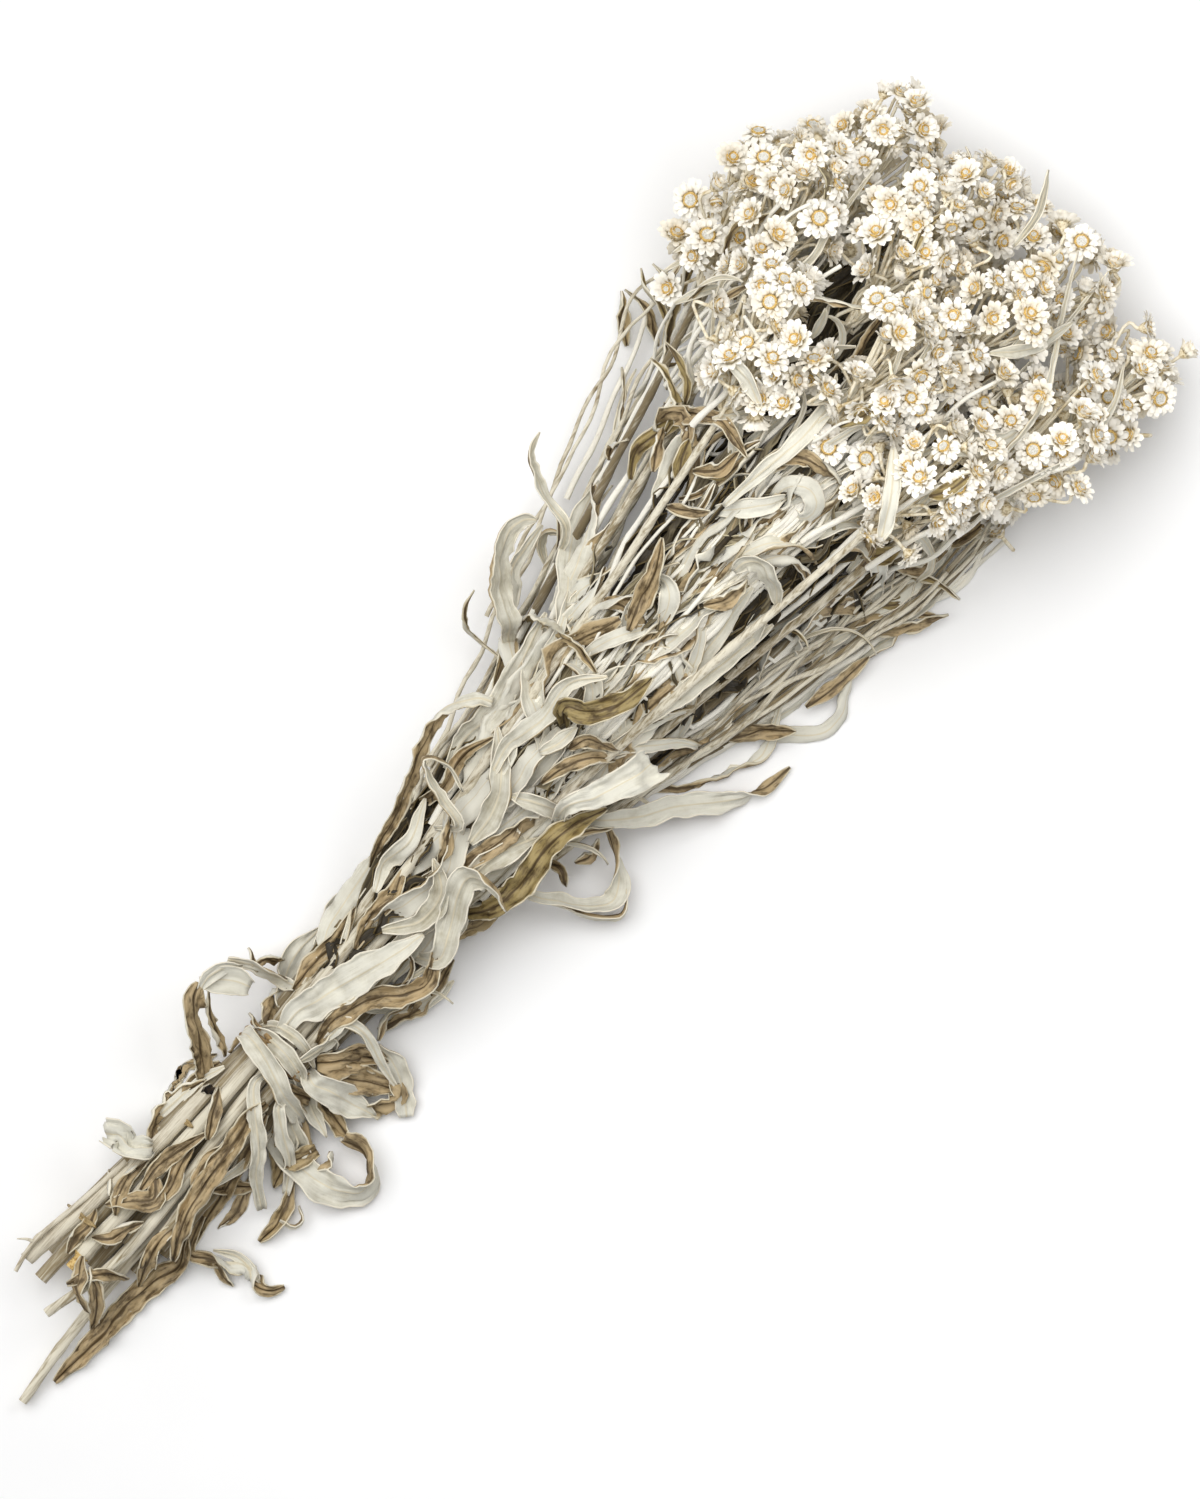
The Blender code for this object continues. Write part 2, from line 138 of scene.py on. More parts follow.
# Leaves that the solids also have: name, side that is seen, greatest width, the stem that the
# leaf grows on, X and degrees around it where it does so, and the points "x y z tilt" that it
# follows. A tilt of 0 faces up, and a tilt of 90 stands the leaf on edge.
LEAVES = table("""
floor_leaf dry 6.6 stem_05 -143 200 fullness=0.5 crinkle=1.5: -149 -14.6 4.2 10, -157 -12.6 2.2 0,
  -166 -11.4 1.6 -12, -175 -11.6 2 14, -185 -10.8 1.6 -8, -192 -10.3 1.8 0
hanging_leaf dry 4.8 stem_05 -136 200 fullness=0.5: -145 -14.4 5 0, -143.2 -19 4.4 10, -141 -23 4 100,
  -138.6 -28 3.6 170, -140.4 -33 2.8 340, -139 -36.4 2.4 360, -136 -38.3 1.6 360
brown_wavy_leaf dry 5.4 stem_14 -104 120 fullness=0.5 crinkle=1.5: -109 -3.6 18 -10, -115 -4.8 18.2 8,
  -125 -5.8 18 -14, -135 -7.4 17.2 10, -143 -9.4 15 -10, -149.5 -13 11 0
small_brown_leaf dry 6.4 stem_16 -136 95: -140.5 1 17.8 0, -145 5.2 18.2 20, -149.5 9.4 17 50
ragged_leaf felt 8 broken_stem -131 80 tip=0.7 fullness=0.5 crinkle=3.4: -132.5 11.2 17.2 0,
  -134.8 14.4 18 30, -134 18 17.6 -20, -136 20.6 16 30
wrap_leaf felt 6.8 stem_09 -100 0 tip=0.86 fullness=0.5: -95 10.9 11 -85, -94.2 9.2 16.6 -10, -95 4.6 19.3 12,
  -97.4 -1.6 19.2 -8, -99.4 -6.4 16.4 8, -100.6 -11.6 10.6 0, -101 -14.6 6.2 0
wrap_strip_upper felt 4.4 stem_15 -99 90 tip=0.88 fullness=0.6 crinkle=1.6: -103 0.4 17.6 0,
  -109 -5.6 18.4 20, -114 -10.8 16 -20, -119.4 -14.6 10.6 10, -125 -21 4 -10
wrap_strip_lower felt 4 stem_10 -99 170 tip=0.88 fullness=0.6 crinkle=1.6: -103 -7.8 15.2 0,
  -107 -12.8 12.6 20, -111.4 -18.6 7.4 -20, -118 -23.2 2.4 10
big_pale_leaf felt 10 stem_16 -88 90: -82 4.6 19.4 12, -75 2.4 20.6 6, -68 0.2 22 0, -60 -2.6 23.6 -6,
  -53 -4.9 24.6 -12, -46 -6.4 25 -20
loop_leaf dry 7.4 stem_09 -110 20 curl=0.4 fullness=0.5 crinkle=0.7: -106.4 14.6 11.4 30, -103 19 15 45,
  -100 23.6 18.2 50, -96 26.6 20.4 30, -92 28 21.2 20
floor_curl_leaf felt 9.5 stem_05 -109 200 tip=0.9 fullness=0.35: -110.4 -16.6 6 0, -110.8 -22 5 -10,
  -110 -29 4.4 10, -107.4 -35 4.2 40, -103 -37.4 4.4 62, -99 -35.4 5.2 84, -97.2 -30.2 6.4 114,
  -98.6 -25 7.4 118
wide_hanging_leaf felt 9.4 stem_10 -91 190: -92.6 -10.6 15 0, -91 -15.4 11.2 8, -90 -21.4 6.6 -6,
  -88.6 -27.2 2.6 0
brown_hanging_leaf dry 8.8 stem_05 -86 190: -86.4 -14.8 8.6 10, -83.4 -20.4 5.4 -8, -80 -27 2.6 0
pale_strip felt 3.6 stem_14 -84 150: -79 -5.8 19.8 0, -75.8 -6 19.6 -20, -74.6 -12 17 -10, -77.6 -20 10 10,
  -80 -28 3.6 0
side_brown_leaf dry 7.2 stem_14 -84 120: -78 -3.6 19.6 0, -72 -5.2 20.4 18, -66 -7.6 20.4 -12,
  -61 -12.4 19.6 16, -55 -15.4 19.4 -14, -50 -13.6 21 10, -45 -10 22.8 0
mid_pale_leaf felt 8.4 stem_10 -52 120: -48 -13.6 22.6 0, -40 -10.2 26.4 -10, -30 -5.4 31 12, -26 -8 34 50,
  -25.6 -12.4 34.4 80, -28 -18.4 30.4 80
long_olive_leaf dry 7.6 stem_10 -36 160: -29 -15.6 24.6 0, -20 -16.6 27.2 15, -10 -15.6 30.2 -12,
  0 -17.2 31.6 10, 8 -20.6 31.6 0
lower_loop_leaf felt 6.2 stem_05 -24 190 curl=0.6 crinkle=0.4: -20 -22.6 14.6 -30, -17 -28 11.6 -50,
  -13.6 -33.6 8.4 -50, -8.4 -36.9 6.6 -30, -3.4 -34.2 6.6 40, 1.2 -28.8 8.6 110, 4 -24 11.6 125,
  5 -20.4 15 130
reaching_leaf felt 6.4 stem_05 2 190: 6 -22.8 16.4 0, 12 -28.2 12.4 10, 20 -33.6 8.4 -10, 27 -40 5.2 10,
  33 -44.6 3.4 60, 39 -47.4 2.6 165, 46 -48.5 2 180
upper_arch_leaf dry 5.6 stem_09 -42 10 tip=0.86 fullness=0.8 crinkle=0.6: -36 17 17.6 20, -28 18.4 21 35,
  -18 22 26.2 48, -8 25.5 29.6 52, -3 26.4 31 70, 3.4 25 32 120, 7.4 22 32.6 150, 9.4 18.6 33 165
narrow_loop_leaf felt 4.6 stem_16 -24 70: -19.6 4.6 33.4 20, -17.4 12 35.6 40, -15.2 19.6 36.4 70,
  -12.8 22.8 37.4 90, -10.4 20.6 38 90, -9.6 15.8 37.6 70, -12.6 9.4 36 40
cream_leaf felt 9.2 stem_10 -4 130 tip=0.6 fullness=0.9 crinkle=1.6: 1 -12.4 37.6 0, 8 -16.2 40 8,
  14 -19 40.6 -8, 19.6 -20.8 39.4 6, 24 -21.6 36.6 0
pale_arch_leaf felt 8 stem_09 22 20: 27 28.4 31.4 20, 30.4 34 34 40, 36 40 36.6 50, 42 43 38 45, 48 43 38 30,
  51 40 37.6 20
thorn_leaf felt 4.2 stem_09 46 20: 54 33 34 20, 56 40 36 45, 58 46 37.6 60, 60.4 51 38.8 60, 64 53.4 39.6 50,
  68 54.2 40 40
brown_top_leaf dry 7 stem_15 16 100: 20 4 49.4 0, 23 -1 51.6 15, 28 -5 53 -10, 35 -7 54 12, 40 -7.6 54 0
""")

# Other single leaves: side seen, width and points. Here Z is counted from the top of the stack of
# stems below, so that a leaf lies on the bunch.
LOOSE_LEAVES = {
    "base_leaves": table("""
dry 4.6: -106 -6.4 1 0, -115 -8.6 0.6 12, -125 -10.6 0.4 -12, -136 -12.4 0.6 10, -146 -14.6 1.5 0
felt 3.4: -129 -8 2 0, -121 -10 2.4 20, -115 -10.6 2.6 -10, -109 -10.4 2 0
dry 4.6: -129.5 -8.6 0.5 0, -125 -12.6 1 15, -121.5 -16.4 2 30
dry 4.4: -131.6 -26 1.6 20, -126 -26.4 2.2 -15, -120 -25 2.4 20, -114 -22 2.2 0
felt 3: -124 -26.4 3 60, -123 -30 3 80, -120 -30.6 3 85, -118.2 -27.6 3.4 70
dry 5.2: -141 5 1.4 0, -134 5.6 2 18, -127 4 2.2 -12, -119 1.8 1.6 0
dry 4.8: -142 0 1 0, -136 -0.6 1.8 14, -130 1.4 1.6 -10, -124 2.2 1 0
dry 4.6 crinkle=0.7: -120.4 0.4 1.6 0, -115 3.6 2.4 20, -108.6 7.2 2 35
dry 5.2: -131 10.6 2 20, -126 13.6 3 50, -120 14.6 3.4 55, -115 13 3 40, -109.6 10.8 2 20
dry 4.8: -141 -8 1.6 0, -148 -7 2.4 20, -154 -8.4 2 -20, -160 -10.4 1.6 0
dry 4.6: -163 5 2.4 0, -167.6 2.6 2.6 40, -171 -1.4 3 70, -172.4 -5.6 3 50
dry 4.2: -171 3.4 1 20, -166 0.6 2 -30, -162.4 -2.6 2 30, -160 -7.4 3 60
dry 4.2: -175.6 -8.6 2 30, -171 -6.4 2.4 -20, -166.6 -2 2.6 40, -164 2 2 80
dry 4.4: -165 8.2 2 -20, -160.6 9.6 3 30, -156.4 8.6 2.4 -30, -152 10.4 1 0
dry 4: -158 6.4 2 30, -155 2.6 3 -20, -150.6 1.6 2.6 40, -146.6 -1 2 0
dry 4.2: -150 5.6 2 30, -146 8 3 -30, -140.6 9.4 2 40, -134 8.4 1 0
felt 3.4: -140.6 -18.6 4 60, -138 -24 3.6 20, -138.3 -29 3 0, -139.4 -33 2 -30
dry 2.8: -142.6 -20.4 3.4 0, -143.8 -24 2.4 30, -144.5 -28.5 1.2 60
scale 1.7: -156.2 16.4 2.2 30, -155.8 12 3.4 20, -155.4 7.2 4 0
scale 1.5: -121 10.4 1.4 20, -120.6 8 1.6 20, -120.6 5.4 1.4 0
dry 2.4: -147.2 9.8 3 60, -145 12 3.4 80, -142.6 14.4 3.4 60
dry 5: -124 12 -3 40, -117 16 -4 70, -109 16.4 -4 60, -103 13 -2 30
dry 4.6: -118 -12 -3 -40, -124 -15 -5 -30, -131 -17 -5 20, -136 -16 -5 50
felt 3.6: -104 9.4 1 20, -111 11.8 1.6 50, -119 13 1.4 10, -127 14 1 0
dry 4: -104 11 0.4 20, -110 12.6 1.6 -20, -117 13.2 1.2 30
dry 4.4: -112 -2.6 1 0, -119 -3.6 1.6 -20, -127 -3 1.4 20, -133 -5 1 0
"""),
    "waist_leaves": table("""
felt 5.4: -92.8 9.8 -3 20, -91.6 7 2.4 10, -91.4 0.4 3.4 -8, -93.2 -6 3 0, -96.4 -9.8 2 0
felt 3.6: -90.6 9.4 -1 0, -87.4 5.4 3 10, -86.8 -1.6 3.4 0, -89.6 -8.4 2.4 0
dry 3.6: -102 11 0 40, -99.6 15 8 50, -97 20.4 14 60, -92 25 18 70
felt 5: -94 26.6 20.4 20, -89 27.2 21 30, -84.6 25.6 20 50, -81.6 22.6 19 60
felt 9.4 tip=0.88 fullness=0.6 crinkle=0.6: -91.6 28.4 20 30, -88.4 25 19 10, -86 21.6 17.6 0,
  -84.4 17.8 16 20
felt 4.6 tip=0.9 fullness=0.35: -83 26.4 19 30, -80.2 22 17 40, -79 17 14 50, -77.6 12.4 6 50, -77 9.6 1 30
dry 2.4: -80.4 18.6 15 0, -79 21.6 16 40, -77.6 24.6 16.4 80
dry 4: -79.6 20.4 13 40, -76.2 19 12 60, -74.2 15.6 6 60
dry 1.8: -91.2 8.6 2 40, -90.6 11 3.6 60, -89.8 13.6 8 80
dry 6: -89 8.4 1 10, -85.4 10.6 1.6 50, -81 12.6 4 90
felt 8: -84 9 -2 40, -77 13 2 30, -70 14.6 4 10, -61.4 14 3 30
felt 4.6 tip=0.88 fullness=0.6 crinkle=1.6: -98 -3 2.4 0, -101 -8.6 2.4 30, -104.4 -13.4 9 -20,
  -106.6 -19 5 30, -107.6 -24.4 3 80
dry 4.6: -102.6 -24.8 4.6 60, -105.4 -26.4 5 80, -108.6 -24.8 4.6 60
dry 5.4 tip=0.9 fullness=0.35: -112.4 -17.6 7 20, -109 -20 6.4 10, -104.6 -21.8 6 -10
felt 5: -97 -3 2.4 0, -96 -9.6 2.6 30, -98.2 -15 8 -20, -100.4 -21.6 6 30
dry 5 tip=0.75: -99.2 -4.4 2.6 -20, -97.6 -8 2.8 0, -96.2 -12.4 10 20
felt 6.8 tip=0.86: -74.4 -16 9 60, -75.2 -21 6 20, -77.6 -26 4 -10, -81 -30.4 2.4 -20, -83.6 -33.4 1.6 0
dry 6.4 tip=0.9 fullness=0.35: -87.8 -23.6 4.4 60, -85 -27.6 3.6 50, -81.6 -29.2 3.8 40, -78.4 -26.6 4.6 60
dry 8.6 tip=0.9 fullness=0.35: -88 -7.6 1.5 20, -84 -11.6 12 30, -79.8 -15 9 20, -76.6 -19 5 50
dry 6: -93 -9 0 10, -94.6 -15 7 -30, -96 -22 4 20, -97 -28 2.6 40
dry 6: -101 -10 0 10, -104 -16 6 -30, -109 -21 3 20, -113 -25 2 40
dry 6: -104 -9 0 10, -109.6 -13.6 6 30, -114 -18 3 -20, -119 -20 2 40
felt 4.6: -91 -3.6 3.2 30, -85 -5.6 3.6 60, -80 -6.6 3.6 60, -75.4 -7.4 3 30
felt 3: -82 -4.6 2 20, -80.6 -7.4 3 60, -82.8 -9 2.4 100, -84.6 -7.4 2.2 140
dry 3.4: -73.6 -15.4 12 60, -68 -13 9 80, -61.6 -15.4 10 60
dry 5: -84 -9 1 0, -80 -14 9 20, -76 -21 6 -10
felt 5.2: -70 -8 1 10, -64 -13 4 20, -58 -18 4 0, -50 -20 3 -20
dry 5.4: -78 9 0.4 20, -70 9.6 0.6 -20, -61 9 1 10, -52 11 1.4 20
felt 5.4: -66 12 0.6 30, -57 14.4 1 10, -48 13.6 1.4 -20, -40 16.4 2 0
dry 5.2: -60 4 1.4 0, -52 6.4 1.8 30, -44 5.6 2 -20, -36 8.4 1.6 0
dry 5.6: -72 -14 3 -20, -64 -17.4 4 -50, -56 -18 4 -30, -46 -16.4 3 0
"""),
    "middle_leaves": table("""
felt 6.4: -52 2 1.6 0, -44 -3.6 2.4 14, -35 -3 3.2 -10, -30 4.2 2.6 10
felt 7.2: -30 -6 2.4 0, -22 -6.6 3.4 12, -15 -9 3.4 -10, -8.4 -12.4 2.8 0
felt 6.2: -5.4 -0.6 3 0, -2.2 -7 3.6 12, 0.4 -14.6 3 20
dry 5: -29.4 2.4 2.6 0, -24 5 3.4 60, -19.4 9.6 3 120
felt 8.2: -21 -0.4 1.8 0, -12 0.4 2.6 8, -4 4 3 -8, 5.4 13.6 2.4 0
felt 6: -6 6.6 3.4 0, 4 8.4 4.2 20, 14 6 4.6 -20, 25 7.2 4.6 20, 33 1 5 10
felt 7.4: -11 16.4 2.4 10, -2 18 3.2 24, 8 16.6 3.4 -4, 20 19.4 3.6 14, 35 23.2 3 0
dry 1.6: 19 24 2 20, 18.6 32 11 60, 19.2 36.4 18 70, 22.4 39.4 22 60, 27.4 40.4 24 30
felt 6: 30 30 4 10, 33 33.4 9 30, 38 37 13 40, 51 38.4 12 20
dry 4.6: 12 20.4 4 0, 20 24.4 5 20, 28.6 27.4 7 60, 32.4 24 6 80, 34 17 5 60, 33 8 4.6 30, 31.8 3.6 4.6 0
felt 5.2: 7.4 1.4 4.4 10, 12 -0.6 5 -20, 18.6 -1.4 5 10
dry 4.6: 2 -4 3.4 0, 9.4 -5.8 4.2 20, 15.4 -9.6 4.2 -20, 18.4 -14.2 3.6 0
dry 4.6: 13 -3.6 4.6 0, 18 -5.4 5.2 30, 21 -13.4 4.6 60
felt 4.8: -20 -20 7 60, -17 -30 4 80, -10.4 -40.6 3.6 85, -4 -37.6 4 80
dry 3.6: -12 -18.4 2 0, -11 -22 8 20, -13.4 -25.6 5 40
dry 3.6: -7.6 -23.4 8 20, -3.6 -25 7 50, 0.8 -24 8 80
dry 6.2: 45 4.6 4.4 0, 52 7 5 20, 60 9 5.2 -15, 68 13.4 4.6 20
dry 5: 62 -5.4 4.6 0, 67 -8.8 5.2 30, 74 -9.2 4.6 60
felt 6.8: 73.4 -5.6 6 0, 77.2 -6.2 8 30, 79.2 -10.6 8.4 50, 77 -16 7.6 40, 74.4 -19.4 6.4 20
felt 4.4: 44 31 2 20, 47 36 6 50, 51 36.6 7 70, 52.4 32.4 5 60
dry 5.2: 41 -32 2 0, 48 -37 3 20, 53.6 -43.6 6 10
felt 5.4: 30 -13.6 3 0, 42 -16 4 12, 56 -19 4.6 -14, 70 -21.6 4.6 10
felt 5: 84 7 4 0, 96 5.6 5 14, 108 3.4 5 -12, 122 3.2 3 10, 130 0 1 0
dry 4.4: 60 -41.6 3 0, 70 -44 3.4 20, 80 -45.2 3.4 -10
dry 4.4: 79 26 3 0, 84 29 4 30, 89 31.4 4 60
dry 4.2: 74.4 36.6 2 0, 77 38 4 40, 81 36 4 80
dry 4.4: 85.6 18.4 3.4 0, 90 14 4.4 30, 97 13 4 0
dry 4.4: 74.6 17.6 3.4 0, 77.4 12.4 4.4 30, 80.6 8.6 4 60
dry 5.2: 93.6 35 1 0, 97 27 4 30, 99.4 20.4 4 -20, 96.8 10.4 4 0
felt 4.4: 103.4 -26.6 3 0, 110 -24 4 20, 116 -21.4 4 -10, 122 -17.4 3 0
felt 4: 112.4 29 2 0, 111 23.4 4 30, 107.6 17.4 4 60
dry 4.2: 84 -41 2 10, 92 -47.4 3 40, 101 -53.4 4 60
dry 4.2: 101 -34.4 3 0, 104 -39.6 6 30, 109.6 -42.4 7 60
dry 5.4: -45 -9 1 10, -38 -13.4 3 50, -30 -16 3.6 10, -22 -13.6 3.4 -20
felt 5.6: -46 9.6 1.4 0, -38 12.6 2.6 40, -30 11.4 3.4 0, -20 15.6 3.4 -20
dry 5: -24 17 1.4 0, -15 14 3 30, -6 15.4 3.4 -10, 3 12.6 3 0
"""),
}

# Leaves among the flower heads: side seen, width, tone and points; Z is counted from the top of
# the sprays. A tone of 0 is the palest, and a tone above 0.9 adds painted shade.
FLOWER_LEAVES = table("""
dry 2.6 0.5: 131 35 0 20, 136 27 2 50, 142 16 2 60, 149 5 1 50, 154 1 -2 30
dry 3 0.7: 97 37 1 20, 104 43.6 2 50, 116 50 2 40, 127 54 1 30, 133 58 -2 20
felt 2.4 0.6: 106 42.4 1 20, 118 40 2 50, 130 35 2 60, 142 31 2 40, 156 32.5 1 20, 174 34 -1 0
dry 3.2 0.6: 131 48 0 20, 138 50.4 2 40, 146 46 2 60, 157 45.6 1 40, 167 47 -1 20
dry 2.4 0.8: 160 11.6 0 20, 167 14.4 2 50, 175 13.6 0 20
dry 2.6 1.6: 158 38 0 20, 162 40.6 2 40, 163 44.6 0 60
felt 3 0.6: 180 -5 0 20, 189 -4.4 3 40, 195 -2 3 50, 200 1 3 60
felt 5.6 0: 103 -28 1 0, 109 -25 3 20, 116 -20.6 3 -10, 123 -15 0 0
felt 5.2 0.2: 112.6 31 0 0, 111.6 24 3 30, 108.4 16 1 20
felt 5 0.2: 129 -24 0 0, 134 -29 2 30, 141 -34 2 10, 146 -36 0 0
felt 4.6 0.3: 138 -24 0 10, 141 -30 2 40, 145 -39 0 10
dry 4.6 0.9: 118 -2 0 0, 124 -4.4 2 30, 131 -6.6 0 10
felt 4 0.4: 156 -18 0 0, 164 -25 2 40, 176 -28.6 0 10
felt 2.2 0: 96 -6 0 20, 111 -10 2 40, 127 -22 3 30, 147 -26 3 60, 170 -27.6 2 40, 192 -27 0 10
felt 2.6 0.2: 98 1 0 20, 114 -3 2 40, 130 -8 3 60, 146 -6 2 30, 160 -2 0 0
felt 2.4 0.2: 108 -9 0 20, 122 -9 2 40, 133 -4 3 60, 148 1 2 30, 158 2 0 0
felt 2.4 0.2: 120 -40 0 20, 133 -44 2 40, 150 -50 3 60, 166 -50 2 30, 177 -45 0 0
felt 2.2 0.2: 118 -34 0 20, 132 -36 2 40, 148 -37 3 60, 160 -34 2 30, 174 -26 1 20, 190 -18 0 0
dry 4.4 0.9: 119 -30 0 20, 124 -33 2 -20, 130 -34 1 10
dry 4 0.5: 112 -40 0 20, 119 -44 2 -20, 127 -45 1 10
felt 2.2 0.4: 112 36 0 20, 126 44 2 40, 140 42 3 60, 154 52 2 30, 166 54 0 0
dry 3.4 0.6: 99 52 -2 20, 104 58 3 50, 108.6 62 4 70
dry 2.8 0.4: 104 46 -2 20, 109 54 3 50, 109.4 61.6 4 70
felt 3 0.4: 112 50 -2 20, 118 54 3 50, 118.6 60.6 4 70
""")

# Middles of the sprays, one at each stem's end, and the flower heads on top as "x y pattern":
# 0 and 1 are open rosettes, 2 is half open, 3 a cup, 4 bent back, 5 a bud.
SPRAY_MIDDLES = points_of("""
  140 -37 10.3, 156 -11 10.2, 146 15.5 10.7, 150 43 10.8, 168 -48.5 29, 178 -19 37, 180 8 34, 174 35 36,
  140 51.5 36, 146 -40 50, 158 -14 59, 158 14 58, 148 41 59, 120 -27 68, 136 0 75, 120 25 70
""")
TOP_HEADS = points_of("""
  136.5 63.5 0, 151.5 62.5 3, 156 56.5 0, 132.5 54.5 0, 116 53.5 3, 171.5 53 4, 164 48 3, 129.5 46 2,
  143 50 3, 153 47 2, 144 41 3, 137 37.5 2, 153.5 36 0, 172 37 2, 181 38.5 3, 188 31 3, 163 38 4,
  129.5 31.5 0, 113 30.5 3, 119.5 22 2, 126.6 21 3, 119.5 13.6 2, 129 13 3, 123 6.4 2, 131 3.4 3, 150 28 3,
  158.6 26 2, 147.5 12 1, 186.5 16 3, 179 12 2, 166 5 2, 151.5 1.5 3, 157 -5 2, 174 1.5 3, 184 3 2, 112 -3 0,
  124 -3.6 3, 134 -5.6 3, 116 -12 1, 110 -20 5, 134 -14 0, 143.6 -15.6 2, 126 -13 3, 163 -13 3, 172 -14.6 2,
  181 -14 3, 192.6 -17 0, 165.6 -4.4 3, 168 -22.4 0, 155 -24 3, 146 -25 4, 125.5 -34 0, 135.4 -40 3,
  145 -42 0, 147 -33 2, 156 -34.4 3, 170 -42 2, 180 -36.4 3, 187 -30 2, 194.4 -26.6 3, 125 -48 3, 127 -42 5,
  146 -57 2, 154.4 -54.4 3, 164 -57.4 2, 176 -57.6 0, 179 -49.4 3, 116 -36 3, 121 -25 2, 137 -24 3,
  168 16.4 3, 176 22.4 2, 166.6 28 3, 161 14.6 5, 121 40.6 3, 140 58 5, 160.6 62 4, 186 -7 3, 152 -45.6 3,
  162 -48 5
""")

# Pale stems that run over the flower heads: radius, and points "x y".
OVER_FLOWERS = table("""
0.85: 90 -14, 104 -18, 117 -19.5, 130 -19.5, 143 -21.5, 154 -24.5
0.85: 88 -21, 100 -22.5, 110 -24.5, 119 -28.5, 127 -35
0.85: 94 25.5, 106 25.5, 118 27.5, 133 27.5, 148 24
0.85: 96 -31, 108 -33, 119 -38, 131 -40
""")
HOLLOW = (139, 16, 12, 10, 12)  # middle X and Y, half sizes, and the height it is empty above


def linear(code):
    """The linear colour of an sRGB hex code."""
    channels = [int(code[place:place + 2], 16) / 255 for place in (1, 3, 5)]
    return [c / 12.92 if c <= 0.04045 else ((c + 0.055) / 1.055) ** 2.4 for c in channels]


def tint(name, description, code):
    """A colour that a user can change."""
    return FloatVectorProperty(name=name, description=description, subtype="COLOR", default=linear(code))


def extent(name, description, millimetres):
    """A length that a user can change."""
    return FloatProperty(name=name, description=description, unit="LENGTH", default=millimetres * MM)


def tally(name, description, default, least=0):
    """A whole number that a user can change."""
    return IntProperty(name=name, description=description, default=default, min=least)


class StemSettings(bpy.types.PropertyGroup):
    """Sizes and colours of the stems and the twine."""

    sides: tally("Sides", "Sides of a main stem's section", 14, least=6)
    wobble: extent("Wobble", "How far a stem strays from its smooth line", 0.35)
    node_spacing: extent("Node spacing", "Distance between the swellings where leaves grew", 23)
    side_stems: tally("Side stems", "Thin stems between the main ones", 116)
    strands: tally("Strands", "Pale side stems that run over the fan", 60)
    flower_strands: tally("Flower strands", "Bare strands that wind between the flower heads", 28)
    strand: tint("Strand", "Wool of the youngest stems and strands", "#F5F1E4")
    wool: tint("Wool", "Colour of a stem's pale wool", "#E0D9C5")
    bark: tint("Bark", "Colour where the wool has worn away", "#8F7F5F")
    # Painted shade: the colour that stems deep in the bunch go over to.
    bark_in_shade: tint("Dark bark", "Colour of the stems deep in the bunch", "#42382A")
    weathered: tint("Weathered", "Colour of the broken stem", "#DCD4C0")
    pith: tint("Pith", "Colour of a cut end", "#E2C483")
    twine: tint("Twine", "Colour of the tie", "#A88B5E")


class LeafSettings(bpy.types.PropertyGroup):
    """Sizes and colours of the leaves."""

    thickness: extent("Thickness", "Thickness of a dry leaf with its wool", 0.32)
    cover_leaves: tally("Cover leaves", "Leaves that lie on the stems", 74)
    fan_leaves: tally("Fan leaves", "Twisted leaves among the stems of the fan", 136)
    # Painted shade: the inner, shade and hollow leaves are darkened to stand for the shade deep in the bunch.
    inner_leaves: tally("Inner leaves", "Small leaves between the stems", 170)
    shade_leaves: tally("Shade leaves", "Dark leaves just below the outer ones", 130)
    hollow_leaves: tally("Hollow leaves", "Dark leaves in the hollow between the sprays", 26)
    curled_leaves: tally("Curled leaves", "Short leaves that curl out of the bunch", 46)
    flower_leaves: tally("Flower leaves", "Narrow leaves below the flowers", 70)
    seed: tally("Seed", "Seed of the small leaves", 7)
    wool: tint("Wool", "Colour of the woolly underside", "#DDDACC")
    worn_wool: tint("Worn wool", "Colour where the wool is thin", "#9A9072")
    brown: tint("Brown", "Main colour of the upper side", "#B8A27B")
    dark: tint("Dark brown", "Darkest colour of the upper side", "#5C4B30")
    # Painted highlight: the paler rim where the woolly side's rolled edge catches the light.
    rim: tint("Rim", "Colour of the thin rim of the woolly side", "#EDE6D3")
    vein: tint("Vein", "Colour of the woolly side's midrib and the upper side's rim", "#D6CCB2")
    olive: tint("Olive", "Colour of the greener leaves", "#A08D5C")
    # Painted shade: the colour that leaves deep in the bunch go over to.
    shade: tint("Shade", "Colour of the dark leaves deep in the bunch", "#2A2212")


class FlowerSettings(bpy.types.PropertyGroup):
    """Sizes and colours of the flower heads."""

    bract_length: extent("Bract length", "Length of a papery bract", 3.3)
    bract_width: extent("Bract width", "Width of a papery bract", 2.1)
    bracts: tally("Bracts", "Bracts in each of a head's rings", 12)
    heads: tally("Heads", "Most heads on one spray", 38)
    spacing: extent("Spacing", "Least distance between two heads", 4.9)
    seed: tally("Seed", "Seed of the heads' places", 11)
    bract: tint("Bract", "Colour of the papery bracts", "#FAF6EC")
    # Also the beige of the painted shade on heads deep in a spray.
    bract_base: tint("Bract base", "Colour at the foot of a bract", "#E4D4AE")
    florets: tint("Florets", "Colour of the ring of florets", "#DFBE74")
    centre: tint("Centre", "Colour of the downy centre", "#E2E0D8")


class StageSettings(bpy.types.PropertyGroup):
    """The floor, the light and the camera."""

    floor: tint("Floor", "Colour of the floor", "#FBFBFB")
    key: FloatProperty(name="Key", description="Strength of the key light", default=2.35)
    key_height: FloatProperty(name="Key height", description="Key light's angle above the floor",
                              default=radians(66), subtype="ANGLE")
    softness: FloatProperty(name="Softness", description="Angle that the key light spans",
                            default=radians(58), subtype="ANGLE")
    fill: FloatProperty(name="Fill", description="Strength of the light from all round", default=0.28)
    top: FloatProperty(name="Top", description="Power of the soft lamp above the flowers", default=0.4)


